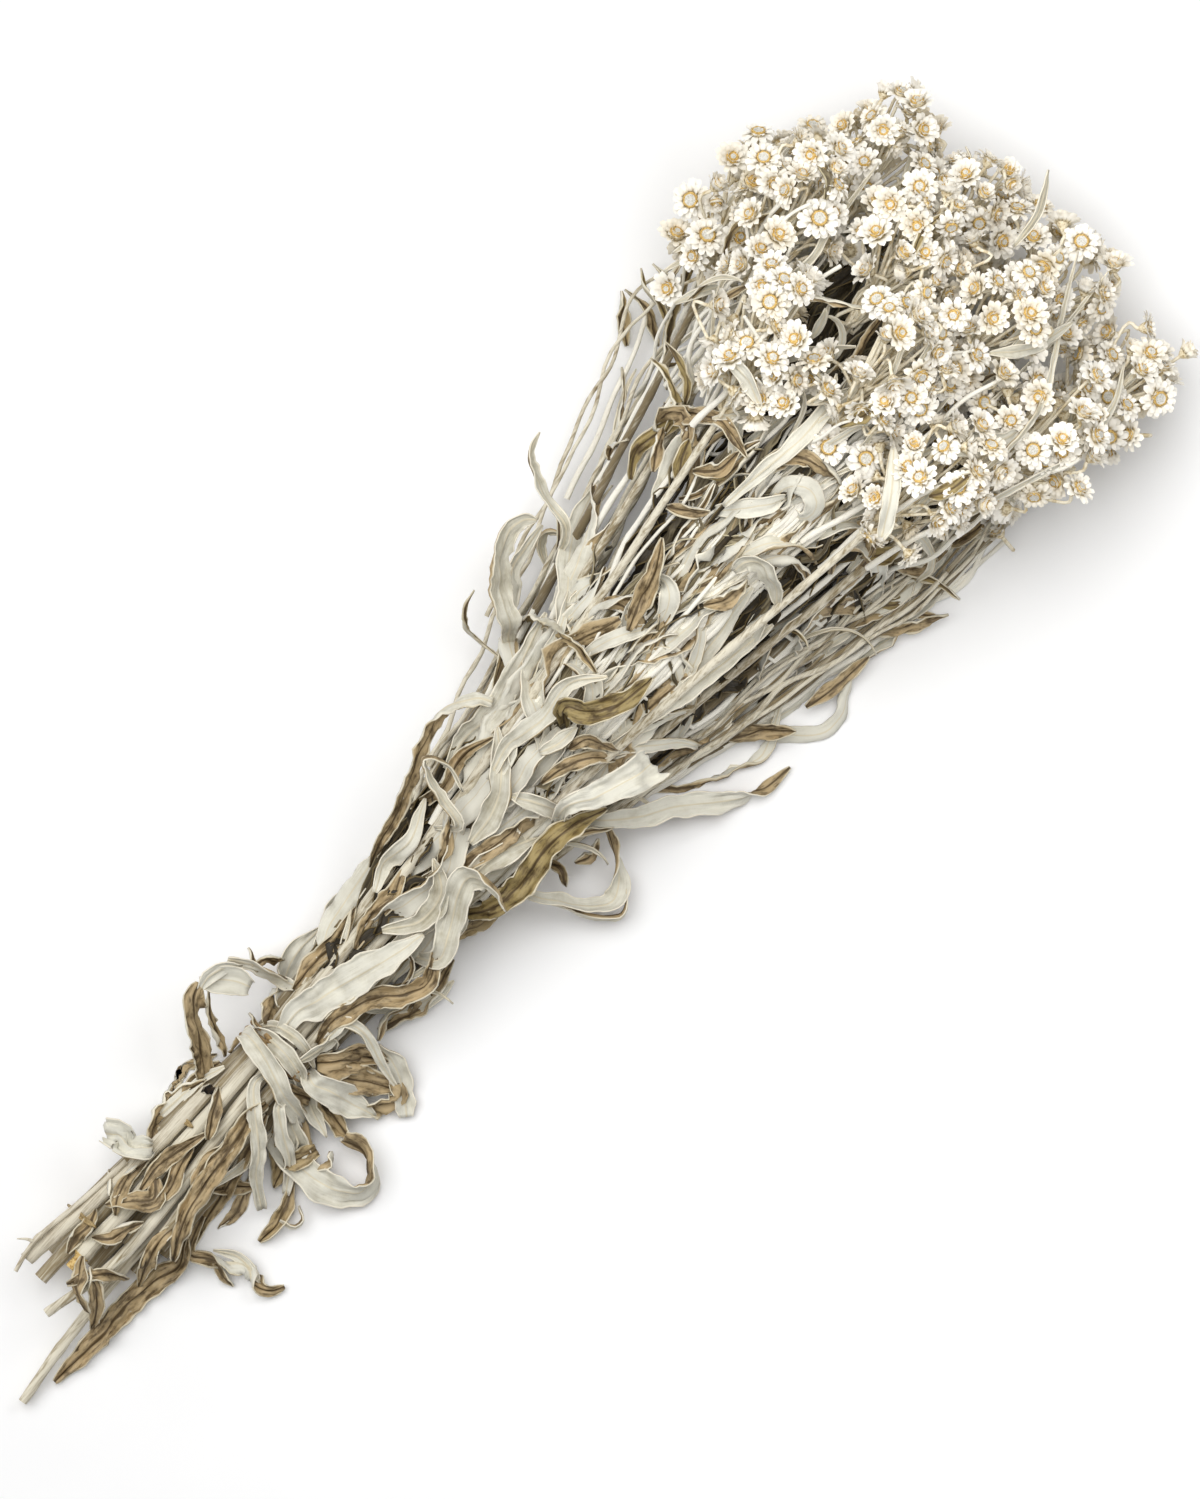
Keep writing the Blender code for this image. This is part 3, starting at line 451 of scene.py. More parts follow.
def add_node(tree, kind, inputs=None, **settings):
    """Adds a node to TREE; each input takes a value, a node's first output or an output."""
    node = tree.nodes.new(kind)
    for name, value in settings.items():
        setattr(node, name, value)
    for key, value in (inputs or {}).items():
        socket = node.inputs[key] if isinstance(key, int) else next(
            s for s in node.inputs if s.enabled and key in (s.name, s.identifier))
        if isinstance(value, bpy.types.Node):
            value = next(s for s in value.outputs if s.enabled)
        if isinstance(value, bpy.types.NodeSocket):
            tree.links.new(value, socket)
        else:
            socket.default_value = value
    return node


def new_material(name, roughness, sheen=0.0):
    """A Principled material and its tree, with the constants on the shader's own sockets."""
    mat = bpy.data.materials.new(name)
    mat.use_nodes = True
    for socket, value in (("Roughness", roughness), ("Sheen Weight", sheen), ("Sheen Roughness", 0.5)):
        mat.node_tree.nodes["Principled BSDF"].inputs[socket].default_value = value
    return mat, mat.node_tree


def coated(mat, colour, height=None, depth=0.0):
    """MAT with its COLOUR, and with bumps of DEPTH millimetres where HEIGHT is one."""
    tree = mat.node_tree
    shader = tree.nodes["Principled BSDF"]
    tree.links.new(colour, shader.inputs["Base Color"])
    if depth:
        bump = add_node(tree, "ShaderNodeBump", {"Height": height, "Strength": 0.8, "Distance": depth * MM})
        tree.links.new(bump.outputs["Normal"], shader.inputs["Normal"])
    return mat


def grain(tree, *size, detail=3.0, coordinates=None):
    """Noise on Object coordinates whose grains have that SIZE in millimetres, in all or along X, Y and Z."""
    if coordinates is None:
        coordinates = add_node(tree, "ShaderNodeTexCoord").outputs["Object"]
    scale = [1 / (part * MM) for part in (size * 3 if len(size) == 1 else size)]
    placed = add_node(tree, "ShaderNodeMapping", {"Vector": coordinates, "Scale": scale})
    return add_node(tree, "ShaderNodeTexNoise", {"Vector": placed, "Scale": 1.0, "Detail": detail,
                    "Roughness": 0.6})


def for_socket(colour):
    """COLOUR, an output, a setting or an sRGB hex code, as a node's socket takes it."""
    if isinstance(colour, bpy.types.NodeSocket):
        return colour
    return (*(linear(colour) if isinstance(colour, str) else colour), 1.0)


def mixed(tree, factor, first, second, low, high):
    """Goes from the first colour to the second as FACTOR goes from LOW to HIGH."""
    step = add_node(tree, "ShaderNodeMapRange", {"Value": factor, "From Min": low, "From Max": high},
                    interpolation_type="SMOOTHSTEP")
    return add_node(tree, "ShaderNodeMix", {"Factor": step, "A": for_socket(first), "B": for_socket(second)},
                    data_type="RGBA").outputs["Result"]


def added(tree, *terms):
    """The sum of (value, weight) pairs."""
    total = 0.0
    for value, weight in terms:
        total = add_node(tree, "ShaderNodeMath", {0: value, 1: weight, 2: total}, operation="MULTIPLY_ADD")
    return total


def grained(name, roughness, size, first, second, low, high, depth=0.0, sheen=0.0, detail=3.0):
    """A material with grains of that SIZE, which go from the first colour to the second."""
    mat, tree = new_material(name, roughness, sheen)
    grains = grain(tree, *size, detail=detail)
    return coated(mat, mixed(tree, grains, first, second, low, high), grains, depth)


def leaf_map(tree):
    """A leaf's own coordinates, the distances from its midrib and from its edge, and its tone."""
    across = add_node(tree, "ShaderNodeUVMap", uv_map="leaf").outputs["UV"]
    offset = add_node(tree, "ShaderNodeSeparateXYZ", {"Vector": across}).outputs["X"]
    off_rib = add_node(tree, "ShaderNodeMath", {0: offset}, operation="ABSOLUTE")
    edge, tone = (add_node(tree, "ShaderNodeAttribute", attribute_name=name).outputs["Fac"]
                  for name in ("edge", "tone"))
    return across, off_rib, edge, tone


def in_shade(tree, colour, mottling, look, edge, tone, darkest):
    """Painted shade: COLOUR going over to dull olive and dark brown as a leaf's tone goes up to DARKEST, deep
    in the bunch, with paler rims.
    """
    rim = (0.04 * MM, 0.3 * MM)
    dull = mixed(tree, mottling, "#5F5238", "#AA9E7E", 0.36, 0.66)
    dull = mixed(tree, edge, "#C4B998", dull, *rim)
    dark = mixed(tree, mottling, look.shade, "#43361A", 0.45, 0.72)
    dark = mixed(tree, edge, "#64542F", dark, *rim)
    # painted shade: a tone above 0.9 dulls the leaf, and above 1.5 it goes towards near black
    colour = mixed(tree, tone, colour, dull, 0.9, 1.7)
    return mixed(tree, tone, colour, dark, 1.5, darkest)


def woolly_underside(look):
    """Felted underside of a dried leaf: matt pale wool, thin in places so that brown shows through, with a
    painted highlight on its rim and painted shade on the leaves deep in the bunch.
    """
    mat, tree = new_material("woolly_leaf_underside", 0.95, sheen=0.3)
    across, off_rib, edge, tone = leaf_map(tree)
    streaks = grain(tree, 0.5, 16, 1, coordinates=across)  # veins half a millimetre apart
    # the tone is random wear, and on the leaves deep in the bunch it also adds painted shade
    wear = added(tree, (streaks, 0.4), (grain(tree, 4), 0.6), (tone, 0.55))
    colour = mixed(tree, wear, look.wool, look.worn_wool, 0.52, 1.15)
    colour = mixed(tree, off_rib, look.vein, colour, 0.0, 0.32 * MM)
    # painted highlight along the rolled rim
    colour = mixed(tree, edge, look.rim, colour, 0.08 * MM, 0.36 * MM)
    colour = in_shade(tree, colour, streaks, look, edge, tone, 2.3)
    fuzz = grain(tree, 0.35, detail=2.0)  # wool, drawn three times as coarse to show
    return coated(mat, colour, added(tree, (fuzz, 0.5), (streaks, 0.8)), 0.22)


def dry_upper_side(look):
    """Smooth upper side of a dried leaf: dull brown to olive, with a dark sunken midrib and wrinkles, and
    painted shade on the leaves deep in the bunch.
    """
    mat, tree = new_material("dry_leaf_upper_side", 0.62)
    across, off_rib, edge, tone = leaf_map(tree)
    wrinkles = grain(tree, 0.8, 5, 1, coordinates=across)
    colour = mixed(tree, tone, look.brown, look.olive, 0.45, 0.85)
    colour = mixed(tree, added(tree, (grain(tree, 5), 0.8), (wrinkles, 0.7)), look.dark, colour, 0.56, 0.82)
    colour = mixed(tree, off_rib, look.dark, colour, 0.1 * MM, 0.5 * MM)
    colour = mixed(tree, edge, look.vein, colour, 0.06 * MM, 0.34 * MM)
    return coated(mat, in_shade(tree, colour, wrinkles, look, edge, tone, 2.1), wrinkles, 0.7)


def leaf_scale(look):
    """Papery bud scale, thin and yellow-brown."""
    return grained("dry_bud_scale", 0.55, (0.5, 6, 0.5), "#846E45", "#BFA676", 0.3, 0.75, 0.15)


def woolly_stem(look):
    """Dried stem with a coat of pale wool, rubbed off in long streaks down to the bark, and painted shade,
    near black, on the stems deep in the bunch.
    """
    mat, tree = new_material("woolly_stem", 0.92, sheen=0.25)
    streaks = grain(tree, 22, 0.7, 0.7)
    tone = add_node(tree, "ShaderNodeAttribute", attribute_name="tone").outputs["Fac"]
    # the tone is real wear, and on the stems deep in the bunch it also adds painted shade
    wear = added(tree, (streaks, 1.3), (grain(tree, 14, 4, 4), 0.7), (tone, 0.4))
    colour = mixed(tree, wear, look.wool, look.bark, 0.95, 1.5)
    # painted shade: a high tone, deep in the bunch, turns the stem near black
    colour = mixed(tree, tone, colour, look.bark_in_shade, 0.8, 1.7)
    fuzz = grain(tree, 0.6, 0.3, 0.3, detail=2.0)  # wool, drawn as coarse as it needs to show
    return coated(mat, colour, added(tree, (fuzz, 0.4), (streaks, 0.9)), 0.25)


def pale_stem(look):
    """Young stem or strand with all its wool: cream, with beige where it is thin."""
    mat, tree = new_material("pale_woolly_stem", 0.92, sheen=0.25)
    streaks = grain(tree, 16, 0.6, 0.6)
    wear = added(tree, (streaks, 0.8), (grain(tree, 7, 2, 2), 0.6))
    return coated(mat, mixed(tree, wear, look.strand, look.bark, 0.72, 1.3), streaks, 0.25)


def weathered_stem(look):
    """Old broken stem: grey bark, grooved along its length, with almost no wool."""
    mat, tree = new_material("weathered_stem", 0.8)
    grooves = grain(tree, 18, 0.45, 0.45)
    wear = added(tree, (grooves, 0.6), (grain(tree, 9, 3, 3), 0.5))
    return coated(mat, mixed(tree, wear, "#8F7F62", look.weathered, 0.3, 0.62), grooves, 0.3)


def cut_pith(look):
    """Spongy pith at a cut end: yellow, with darker grains."""
    return grained("cut_pith", 0.85, (0.5,), "#A97F3E", look.pith, 0.3, 0.6, 0.2)


def dark_hollow(look):
    """Inside of a hollow stem, nearly black: painted shade in its recess."""
    return grained("dark_hollow", 0.9, (0.8,), "#15100A", "#43331F", 0.35, 0.8)


def twisted_twine(look):
    """Jute twine: light brown fibres that catch the light along each strand."""
    return grained("jute_twine", 0.9, (0.3, 1.5, 1.5), "#6B5433", look.twine, 0.3, 0.65, 0.15, sheen=0.2)


def flower_stalk(look):
    """Thin flower stalk with beige wool."""
    return grained("flower_stalk", 0.9, (5, 1.5, 1.5), "#F1E9D3", "#BDA777", 0.4, 0.75)


def papery_bract(look):
    """Dry papery bract: milk white, matt with a faint gloss, beige at its foot, and beige with stains and
    painted shade where its head's tone is high.
    """
    mat, tree = new_material("papery_bract", 0.6)
    stains = grain(tree, 2.5)
    tone, along = (add_node(tree, "ShaderNodeAttribute", attribute_name=name).outputs["Fac"]
                   for name in ("tone", "along"))
    # the tone holds random stains and, on heads deep in a spray, painted shade
    stains_and_shade = added(tree, (tone, 0.6), (stains, 0.5))
    colour = mixed(tree, stains_and_shade, look.bract, look.bract_base, 0.4, 1.3)
    foot = added(tree, (along, 1.0), (stains, 0.2))
    return coated(mat, mixed(tree, foot, look.bract_base, colour, 0.1, 0.42))


def woolly_base(look):
    """Foot of a flower head, covered in tight brownish wool and scale tips."""
    return grained("woolly_head_base", 0.9, (0.9,), "#A98F5C", "#EADFC2", 0.3, 0.6, 0.3)


def golden_florets(look):
    """Ring of dried florets: golden brown and grainy."""
    return grained("golden_florets", 0.75, (0.45,), "#B5904A", look.florets, 0.3, 0.62, 0.35, detail=1.0)


def downy_centre(look):
    """Downy middle of an open head, grey-beige."""
    return grained("downy_centre", 0.95, (0.4,), "#BDB7A4", look.centre, 0.3, 0.6, 0.25, sheen=0.3)


def matt_floor(look):
    """Seamless studio paper: matt, nearly white, with a grain only just there."""
    shaded = [0.985 * c for c in look.floor]
    return grained("studio_paper", 0.95, (60,), look.floor, shaded, 0.3, 0.7)


FINISHES = {}


def finish(make, look):
    """The material that MAKE builds, built once."""
    if make not in FINISHES:
        FINISHES[make] = make(look)
    return FINISHES[make]


def new_object(name, data, *materials):
    """Links DATA, a mesh, light or camera, as an object at the origin, with its materials."""
    piece = bpy.data.objects.new(name, data)
    for mat in materials:
        data.materials.append(mat)
    bpy.context.scene.collection.objects.link(piece)
    return piece


def hand_over(piece, slot, *nodes):
    """Says which body carries the finished piece, and hides the solids that it stands for. SLOT is not used.
    """
    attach(piece, BODY)
    if nodes:
        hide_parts(*nodes)


def new_tree(name, **sockets):
    """A node tree with those named inputs, its function for adding a node, and the inputs' outputs."""
    tree = bpy.data.node_groups.new(name, "GeometryNodeTree")
    for label, kind in sockets.items():
        tree.interface.new_socket(label, in_out="INPUT", socket_type="NodeSocket" + kind)
    tree.interface.new_socket("Geometry", in_out="OUTPUT", socket_type="NodeSocketGeometry")
    node = partial(add_node, tree)
    return tree, node, node("NodeGroupInput").outputs


def new_mesh(name, points, edges=(), faces=()):
    """A mesh of those points, edges and faces."""
    mesh = bpy.data.meshes.new(name)
    mesh.from_pydata(points, edges, faces)
    return mesh


def mesh_of(name, bm):
    """A mesh of what BM holds, which is freed."""
    mesh = bpy.data.meshes.new(name)
    bm.to_mesh(mesh)
    bm.free()
    return mesh


def keep(mesh, label, values, kind="FLOAT", domain="POINT"):
    """Keeps VALUES on the mesh under LABEL."""
    data = mesh.attributes.new(label, kind, domain).data
    data.foreach_set("vector" if kind == "FLOAT_VECTOR" else "value", values)


def run_tree(piece, tree, **values):
    """Runs TREE on PIECE's mesh and keeps the result as a plain mesh."""
    modifier = piece.modifiers.new(tree.name, "NODES")
    modifier.node_group = tree
    for item in tree.interface.items_tree:
        if item.in_out == "INPUT" and item.name in values:
            modifier[item.identifier] = values[item.name]
    depsgraph = bpy.context.evaluated_depsgraph_get()
    mesh = bpy.data.meshes.new_from_object(piece.evaluated_get(depsgraph), depsgraph=depsgraph)
    if not mesh.polygons:
        raise RuntimeError(f"{tree.name} made no faces for {piece.name}")
    piece.modifiers.remove(modifier)
    piece.data = mesh
    return piece


def tube_tree():
    """Tree that turns lines with a "radius" at each point into closed tubes."""
    tree, node, given = new_tree("tubes_from_lines", Lines="Geometry", Sides="Int", Surface="Material")
    curves = node("GeometryNodeMeshToCurve", {"Mesh": given["Lines"]})
    radius = node("GeometryNodeInputNamedAttribute", {"Name": "radius"})
    ring = node("GeometryNodeCurvePrimitiveCircle", {"Resolution": given["Sides"], "Radius": 1.0})
    swept = node("GeometryNodeCurveToMesh",
                 {"Curve": curves, "Profile Curve": ring, "Scale": radius, "Fill Caps": True})
    smooth = node("GeometryNodeSetShadeSmooth", {"Geometry": swept})
    whole = node("GeometryNodeRealizeInstances", {"Geometry": smooth})
    surfaced = node("GeometryNodeSetMaterial", {"Geometry": whole, "Material": given["Surface"]})
    node("NodeGroupOutput", {"Geometry": surfaced})
    return tree


def tubes(name, lines, sides, surface, closed=False):
    """One object with a tube along each of LINES, each (points, radii, tone) in millimetres.

    The tone is one number, or a list with one for each point.
    """
    places, edges, radii, tones = [], [], [], []
    for points, widths, tone in lines:
        first = len(places)
        places += [Vector(p) * MM for p in points]
        radii += [w * MM for w in widths]
        tones += tone if isinstance(tone, list) else [tone] * len(points)
        edges += [(i, i + 1) for i in range(first, len(places) - 1)]
        if closed:
            edges.append((len(places) - 1, first))
    mesh = new_mesh(name, places, edges)
    keep(mesh, "radius", radii)
    keep(mesh, "tone", tones)
    tree = bpy.data.node_groups.get("tubes_from_lines") or tube_tree()
    return run_tree(new_object(name, mesh), tree, Sides=sides, Surface=surface)


def in_hollow(places):
    """Whether any of PLACES, in millimetres, lies in the dark hollow between the sprays."""
    middle_x, middle_y, half_x, half_y, above = HOLLOW
    return any(((p.x - middle_x) / half_x) ** 2 + ((p.y - middle_y) / half_y) ** 2 < 1 and p.z > above
               for p in places)


def shares(count):
    """COUNT even shares from 0 to 1."""
    return [step / (count - 1) for step in range(count)]


def smooth_route(points, count):
    """COUNT points on a smooth curve through POINTS, which may hold more than three numbers."""
    points = [Vector(p) for p in points]
    padded = [2 * points[0] - points[1], *points, 2 * points[-1] - points[-2]]
    spans = len(points) - 1
    route = []
    for share in shares(count):
        span = min(int(share * spans), spans - 1)
        t = share * spans - span
        a, b, c, d = padded[span:span + 4]
        route.append(0.5 * (2 * b + (c - a) * t + (2 * a - 5 * b + 4 * c - d) * t ** 2
                            + (3 * b - a - 3 * c + d) * t ** 3))
    return route


def length_of(points):
    """Length of a line through POINTS, by their first three numbers."""
    return sum((b.to_3d() - a.to_3d()).length for a, b in zip(points, points[1:]))


def main_line(row, column, cut_radius, cut_points, middle):
    """Points and radii of a main stem, as its solid has them, and the direction of its tip."""
    y0, z0 = WAIST_Y + column * STEM_PITCH, ROW_Z[row]
    base = [Vector(p) for p in cut_points] + [Vector((TIE_X - WAIST_HALF, y0, z0))]
    x0 = TIE_X + WAIST_HALF
    middle = Vector(middle)
    fan = []
    for t in shares(FAN_POINTS + 1):
        spread = t ** SPREAD_POWER
        fan.append(Vector((x0 + (middle.x - x0) * t, y0 + (middle.y - y0) * spread,
                           z0 + (middle.z - z0) * spread)))
    direction = (fan[-1] - fan[-2]).normalized()
    fan[-1] = middle - direction * (SPRAY_HALF[0] + GAP)
    radii = [cut_radius + (STEM_RADIUS - cut_radius) * i / len(cut_points) for i in range(len(base))]
    radii += [STEM_RADIUS + (TIP_RADIUS - STEM_RADIUS) * i / FAN_POINTS for i in range(len(fan))]
    return base + fan, radii, direction


def point_on_line(points, radii, x):
    """Middle and radius of a stem where it passes X."""
    for (a, b), (ra, rb) in zip(zip(points, points[1:]), zip(radii, radii[1:])):
        if a.x <= x <= b.x:
            t = (x - a.x) / (b.x - a.x)
            return a.lerp(b, t), ra + (rb - ra) * t
    raise ValueError(f"no stem at x = {x}")


LINES = {stem: main_line(*spec, middle) for (stem, spec), middle in zip(STEMS.items(), SPRAY_MIDDLES)}


STACK_ENDS = (-170.0, 104.0)  # X between which the main stems lie side by side
SKIRT_HEIGHT = 16.0  # of the thin stems that lie outside the main ones
SKIRT_REACH = 0.36  # how far out they lie, of the main stems' half width
LEAST_Z = 1.2  # lowest middle of a stem or leaf in the stack
SECTION_STEP = 5


def cross_section(x):
    """Middle Y, half width and height of the stack of main stems where X passes it."""
    x = min(max(x, STACK_ENDS[0]), STACK_ENDS[1])
    spots = [point_on_line(points, radii, x) for points, radii, _ in LINES.values()
             if points[0].x <= x <= points[-1].x]
    low = min(place.y - radius for place, radius in spots)
    high = max(place.y + radius for place, radius in spots)
    return (low + high) / 2, (high - low) / 2, max(place.z + radius for place, radius in spots)


SECTIONS = {x: cross_section(x) for x in range(-205, 210, SECTION_STEP)}


def section(x):
    """The stack's middle, half width and height at X, between the sections kept above."""
    x = min(max(x, -204.0), 199.0)
    before = int(x // SECTION_STEP) * SECTION_STEP
    t = (x - before) / SECTION_STEP
    return [a + (b - a) * t for a, b in zip(SECTIONS[before], SECTIONS[before + SECTION_STEP])]


def skirt_share(x):
    """How much of the low skirt of thin stems there is at X: none at the waist, all of it in the fan."""
    return min(max((x + 50) / 90, 0.0), 1.0)


def stack_top(x, y):
    """Height of the stack of stems above the floor at (X, Y)."""
    middle, half, height = section(x)
    inside = 1 - ((y - middle) / (half + 1.5)) ** 2
    skirt = SKIRT_HEIGHT * skirt_share(x) * (1 - ((y - middle) / (half * (1 + SKIRT_REACH) + 1.5)) ** 2)
    return max(height * sqrt(max(inside, 0.0)), skirt, 0.0)


def stack_place(x, across, up):
    """A point inside the stack: ACROSS goes from -1 to 1, and beyond into the skirt, and UP from 0 to 1."""
    middle, half, height = section(x)
    if abs(across) > 1:
        across = (1 + (abs(across) - 1) * skirt_share(x)) * (1 if across > 0 else -1)
        return Vector((x, middle + across * half, LEAST_Z + up * (SKIRT_HEIGHT - 3) * skirt_share(x)))
    aside = across * half * sqrt(1 - 0.8 * up * up)
    return Vector((x, middle + aside, LEAST_Z + up * (height - 2 * LEAST_Z)))


def off_floor(points, least=LEAST_Z):
    """POINTS, with none of them lower than LEAST."""
    return [Vector((p.x, p.y, max(p.z, least))) for p in points]


def wavering(points, amount, phase):
    """POINTS moved aside by up to AMOUNT millimetres, in slow waves of their own."""
    moved = []
    for p in points:
        place = Vector((p.x / 17, phase, 0))
        moved.append(p + amount * Vector((0, noise.noise(place), noise.noise(place + Vector((0, 0, 9))))))
    return moved


def swollen(points, radii, spacing, phase):
    """RADII with a swelling at each node and a little unevenness between them."""
    grown = []
    for p, radius in zip(points, radii):
        distance = (p.x + 7 * phase) % spacing - spacing / 2
        uneven = 0.1 * noise.noise(Vector((p.x / 5, phase, 3)))
        grown.append(radius * (1 + 0.16 * exp(-(distance / 1.6) ** 2) + uneven))
    return grown


def tapered(points, radius, loss, spacing, phase):
    """Radii along POINTS: RADIUS at the foot, less the share LOSS of it at the tip, swollen at the nodes."""
    last = len(points) - 1
    return swollen(points, [radius * (1 - loss * i / last) for i in range(last + 1)], spacing, phase)


STEM_WEAR = {"stem_16": 0.1, "stem_15": 0.3, "stem_06": 0.4, "stem_13": 0.9, "stem_14": 0.8}
HIDDEN_WEAR_AND_SHADE = 1.05  # of the other stems, which lie deeper: worn bark and painted shade
LOWEST_TONE, TONE_STEP = 1.6, 0.45  # tone of the fan's lowest row, and how much paler each next one is: painted shade, darker the lower the row
PEG_STEM, PEG_END, PEG_RADIUS = "stem_16", -163.6, 1.25  # the stem whose pith stands out of its cut end


class BUNCH_OT_main_stems(bpy.types.Operator):
    """Make the sixteen stems that the tie holds"""

    bl_idname = "bunch.main_stems"
    bl_label = "Main Stems"

    def execute(self, context):
        look = context.scene.bunch_stems
        wool, pith = finish(woolly_stem, look), finish(cut_pith, look)
        for number, (stem, (points, radii, _)) in enumerate(LINES.items()):
            joined = smooth_route([(*p, r) for p, r in zip(points, radii)], 150)
            middles = wavering([p.to_3d() for p in joined], look.wobble / MM, number)
            widths = swollen(middles, [p.w for p in joined], look.node_spacing / MM, number)
            if stem == PEG_STEM:
                widths = [PEG_RADIUS if p.x < PEG_END else w for p, w in zip(middles, widths)]
            # Painted shade: the fan's lower rows, and the deeper stems past the cut, get a darker tone.
            fan_tone = LOWEST_TONE - TONE_STEP * STEMS[stem][0]
            tones = [STEM_WEAR.get(stem, HIDDEN_WEAR_AND_SHADE) if p.x < TIE_X else fan_tone for p in middles]
            piece = tubes(stem, [(middles, widths, tones)], look.sides, wool)
            piece.data.materials.append(pith)
            for face in piece.data.polygons:
                if face.loop_total > 4 or (stem == PEG_STEM and face.center.x < PEG_END * MM):
                    face.material_index = 1
            hand_over(piece, "stem", stem)
        return {"FINISHED"}


THIN_SIDES = 8  # sides of a thin stem's section


def hollow_tube(name, points, radius, wall, depth, *materials):
    """A tube along POINTS that is open at its last end, where its wall turns in."""
    sides = 14
    bm = bmesh.new()
    rings = []
    route = smooth_route(points, 60)
    heading = (route[-1] - route[-2]).normalized()
    profile = [(p, radius * (1 + 0.12 * noise.noise(p * 0.3))) for p in route]
    profile += [(route[-1], radius - wall), (route[-1] - heading * depth, radius - wall - 0.15)]
    for index, (place, width) in enumerate(profile):
        ragged = 1.6 if len(route) - 1 <= index < len(profile) - 1 else 0
        ring = []
        for side in range(sides):
            angle = tau * side / sides
            jag = ragged * (noise.noise(Vector((cos(angle) * 1.7, sin(angle) * 1.7, 2))) - 0.9 * sin(angle))
            ring.append(bm.verts.new((place + Vector((jag, width * cos(angle), width * sin(angle)))) * MM))
        rings.append(ring)
    for index, (first, second) in enumerate(zip(rings, rings[1:])):
        for side in range(sides):
            after = (side + 1) % sides
            face = bm.faces.new((first[side], first[after], second[after], second[side]))
            face.smooth = True
            face.material_index = 2 if index >= len(route) else 0
    bm.faces.new(rings[0][::-1]).material_index = 1
    bm.faces.new(rings[-1]).material_index = 2
    bmesh.ops.recalc_face_normals(bm, faces=bm.faces)
    return new_object(name, mesh_of(name, bm), *materials)


class BUNCH_OT_broken_stem(bpy.types.Operator):
    """Make the broken stem that lies on the others, and the twig beside it"""

    bl_idname = "bunch.broken_stem"
    bl_label = "Broken Stem"

    def execute(self, context):
        look = context.scene.bunch_stems
        bark = finish(weathered_stem, look)
        stem = hollow_tube("broken_stem", BROKEN_STEM, BROKEN_STEM_RADIUS, 0.55, 5.0, bark,
                           finish(cut_pith, look), finish(dark_hollow, look))
        hand_over(stem, "weathered_stem", "broken_stem")
        route = smooth_route(TWIG, 40)
        widths = [0.55 + 0.25 * i / 40 + 0.3 * exp(-((p.x + 167) / 1.2) ** 2) for i, p in enumerate(route)]
        thorn = smooth_route([(-168.4, 16.6, 15.6), (-169.0, 18.4, 16.2), (-170.6, 20.4, 16.4)], 10)
        thinning = [0.6 - 0.05 * i for i in range(10)]
        twig = tubes("bare_twig", [(route, widths, 0.5), (thorn, thinning, 0.5)], THIN_SIDES, bark)
        hand_over(twig, "weathered_stem")
        return {"FINISHED"}


OPEN_SIDE = 0.5  # beyond this share of the half width, at +Y, the fan is airy
STRAND_POINTS = 60  # along each strand on the fan

# Pale side stems that lie on top of the bunch: radius, and points "x y".
TOP_STEMS = table("""
1: -30 -12, -8 -13, 12 -13, 30 -14, 50 -18, 70 -21, 90 -25, 110 -28, 125 -24
0.9: 0 -2, 20 -5, 40 -3, 60 -1, 80 0, 95 2, 108 -3, 116 -6
1: -20 14, 5 20, 30 25, 60 33, 100 42, 125 50
1: -24 10, 0 15, 30 20, 60 28, 100 34, 118 36
0.9: 10 -20, 30 -25, 50 -30, 70 -33, 92 -38, 112 -42, 130 -44
0.8: 20 -26, 40 -33, 60 -38, 80 -43, 104 -49, 124 -52
0.9: 24 12, 44 14, 64 20, 84 22, 104 27, 120 32
0.8: 40 -10, 60 -13, 80 -13, 100 -17, 120 -19, 136 -22
0.8: 50 8, 70 7, 90 11, 110 10, 126 14
0.8: 54 -26, 74 -29, 94 -30, 112 -35, 130 -36
0.8: 60 38, 80 44, 100 50, 118 56
""")


def deep_stems(look, rng):
    """Lines of the side stems in the stack and in its skirt, the hidden ones darker with painted shade."""
    lines = []
    for number in range(look.side_stems):
        across = rng.uniform(-1, 1)
        if number % 5 == 0:
            across = rng.choice((-1, -1, 1)) * rng.uniform(1.02, 1 + SKIRT_REACH)
        up = rng.uniform(0.05, 1.0) ** 0.8
        if across > OPEN_SIDE and number % 3:
            continue
        drift = rng.gauss(0, 0.1)
        start, end = rng.uniform(-80, 30), rng.uniform(104, 146)
        route = []
        for t in shares(50):
            aside = max(-1.0, min(1.0, across * (0.72 + 0.28 * t) + drift * t)) if abs(across) < 1 else across
            route.append(stack_place(start + (end - start) * t, aside, up * (0.8 + 0.2 * t)))
        hidden = across < OPEN_SIDE and up < (0.85 if across > -0.9 else 0.7)
        route = off_floor(wavering(route, 1.8 if hidden else 3.6, 40 + number))
        widths = tapered(route, rng.uniform(0.5, 0.95), 0.35, 17, number)
        if not in_hollow(route):
            # painted shade: the hidden stems get a dark tone, darkest in the middle
            dark = 1.6 if abs(across) < 0.75 else 0.9
            lines.append((route, widths, 0.4 * rng.random() + (dark if hidden else 0.1)))
    return lines


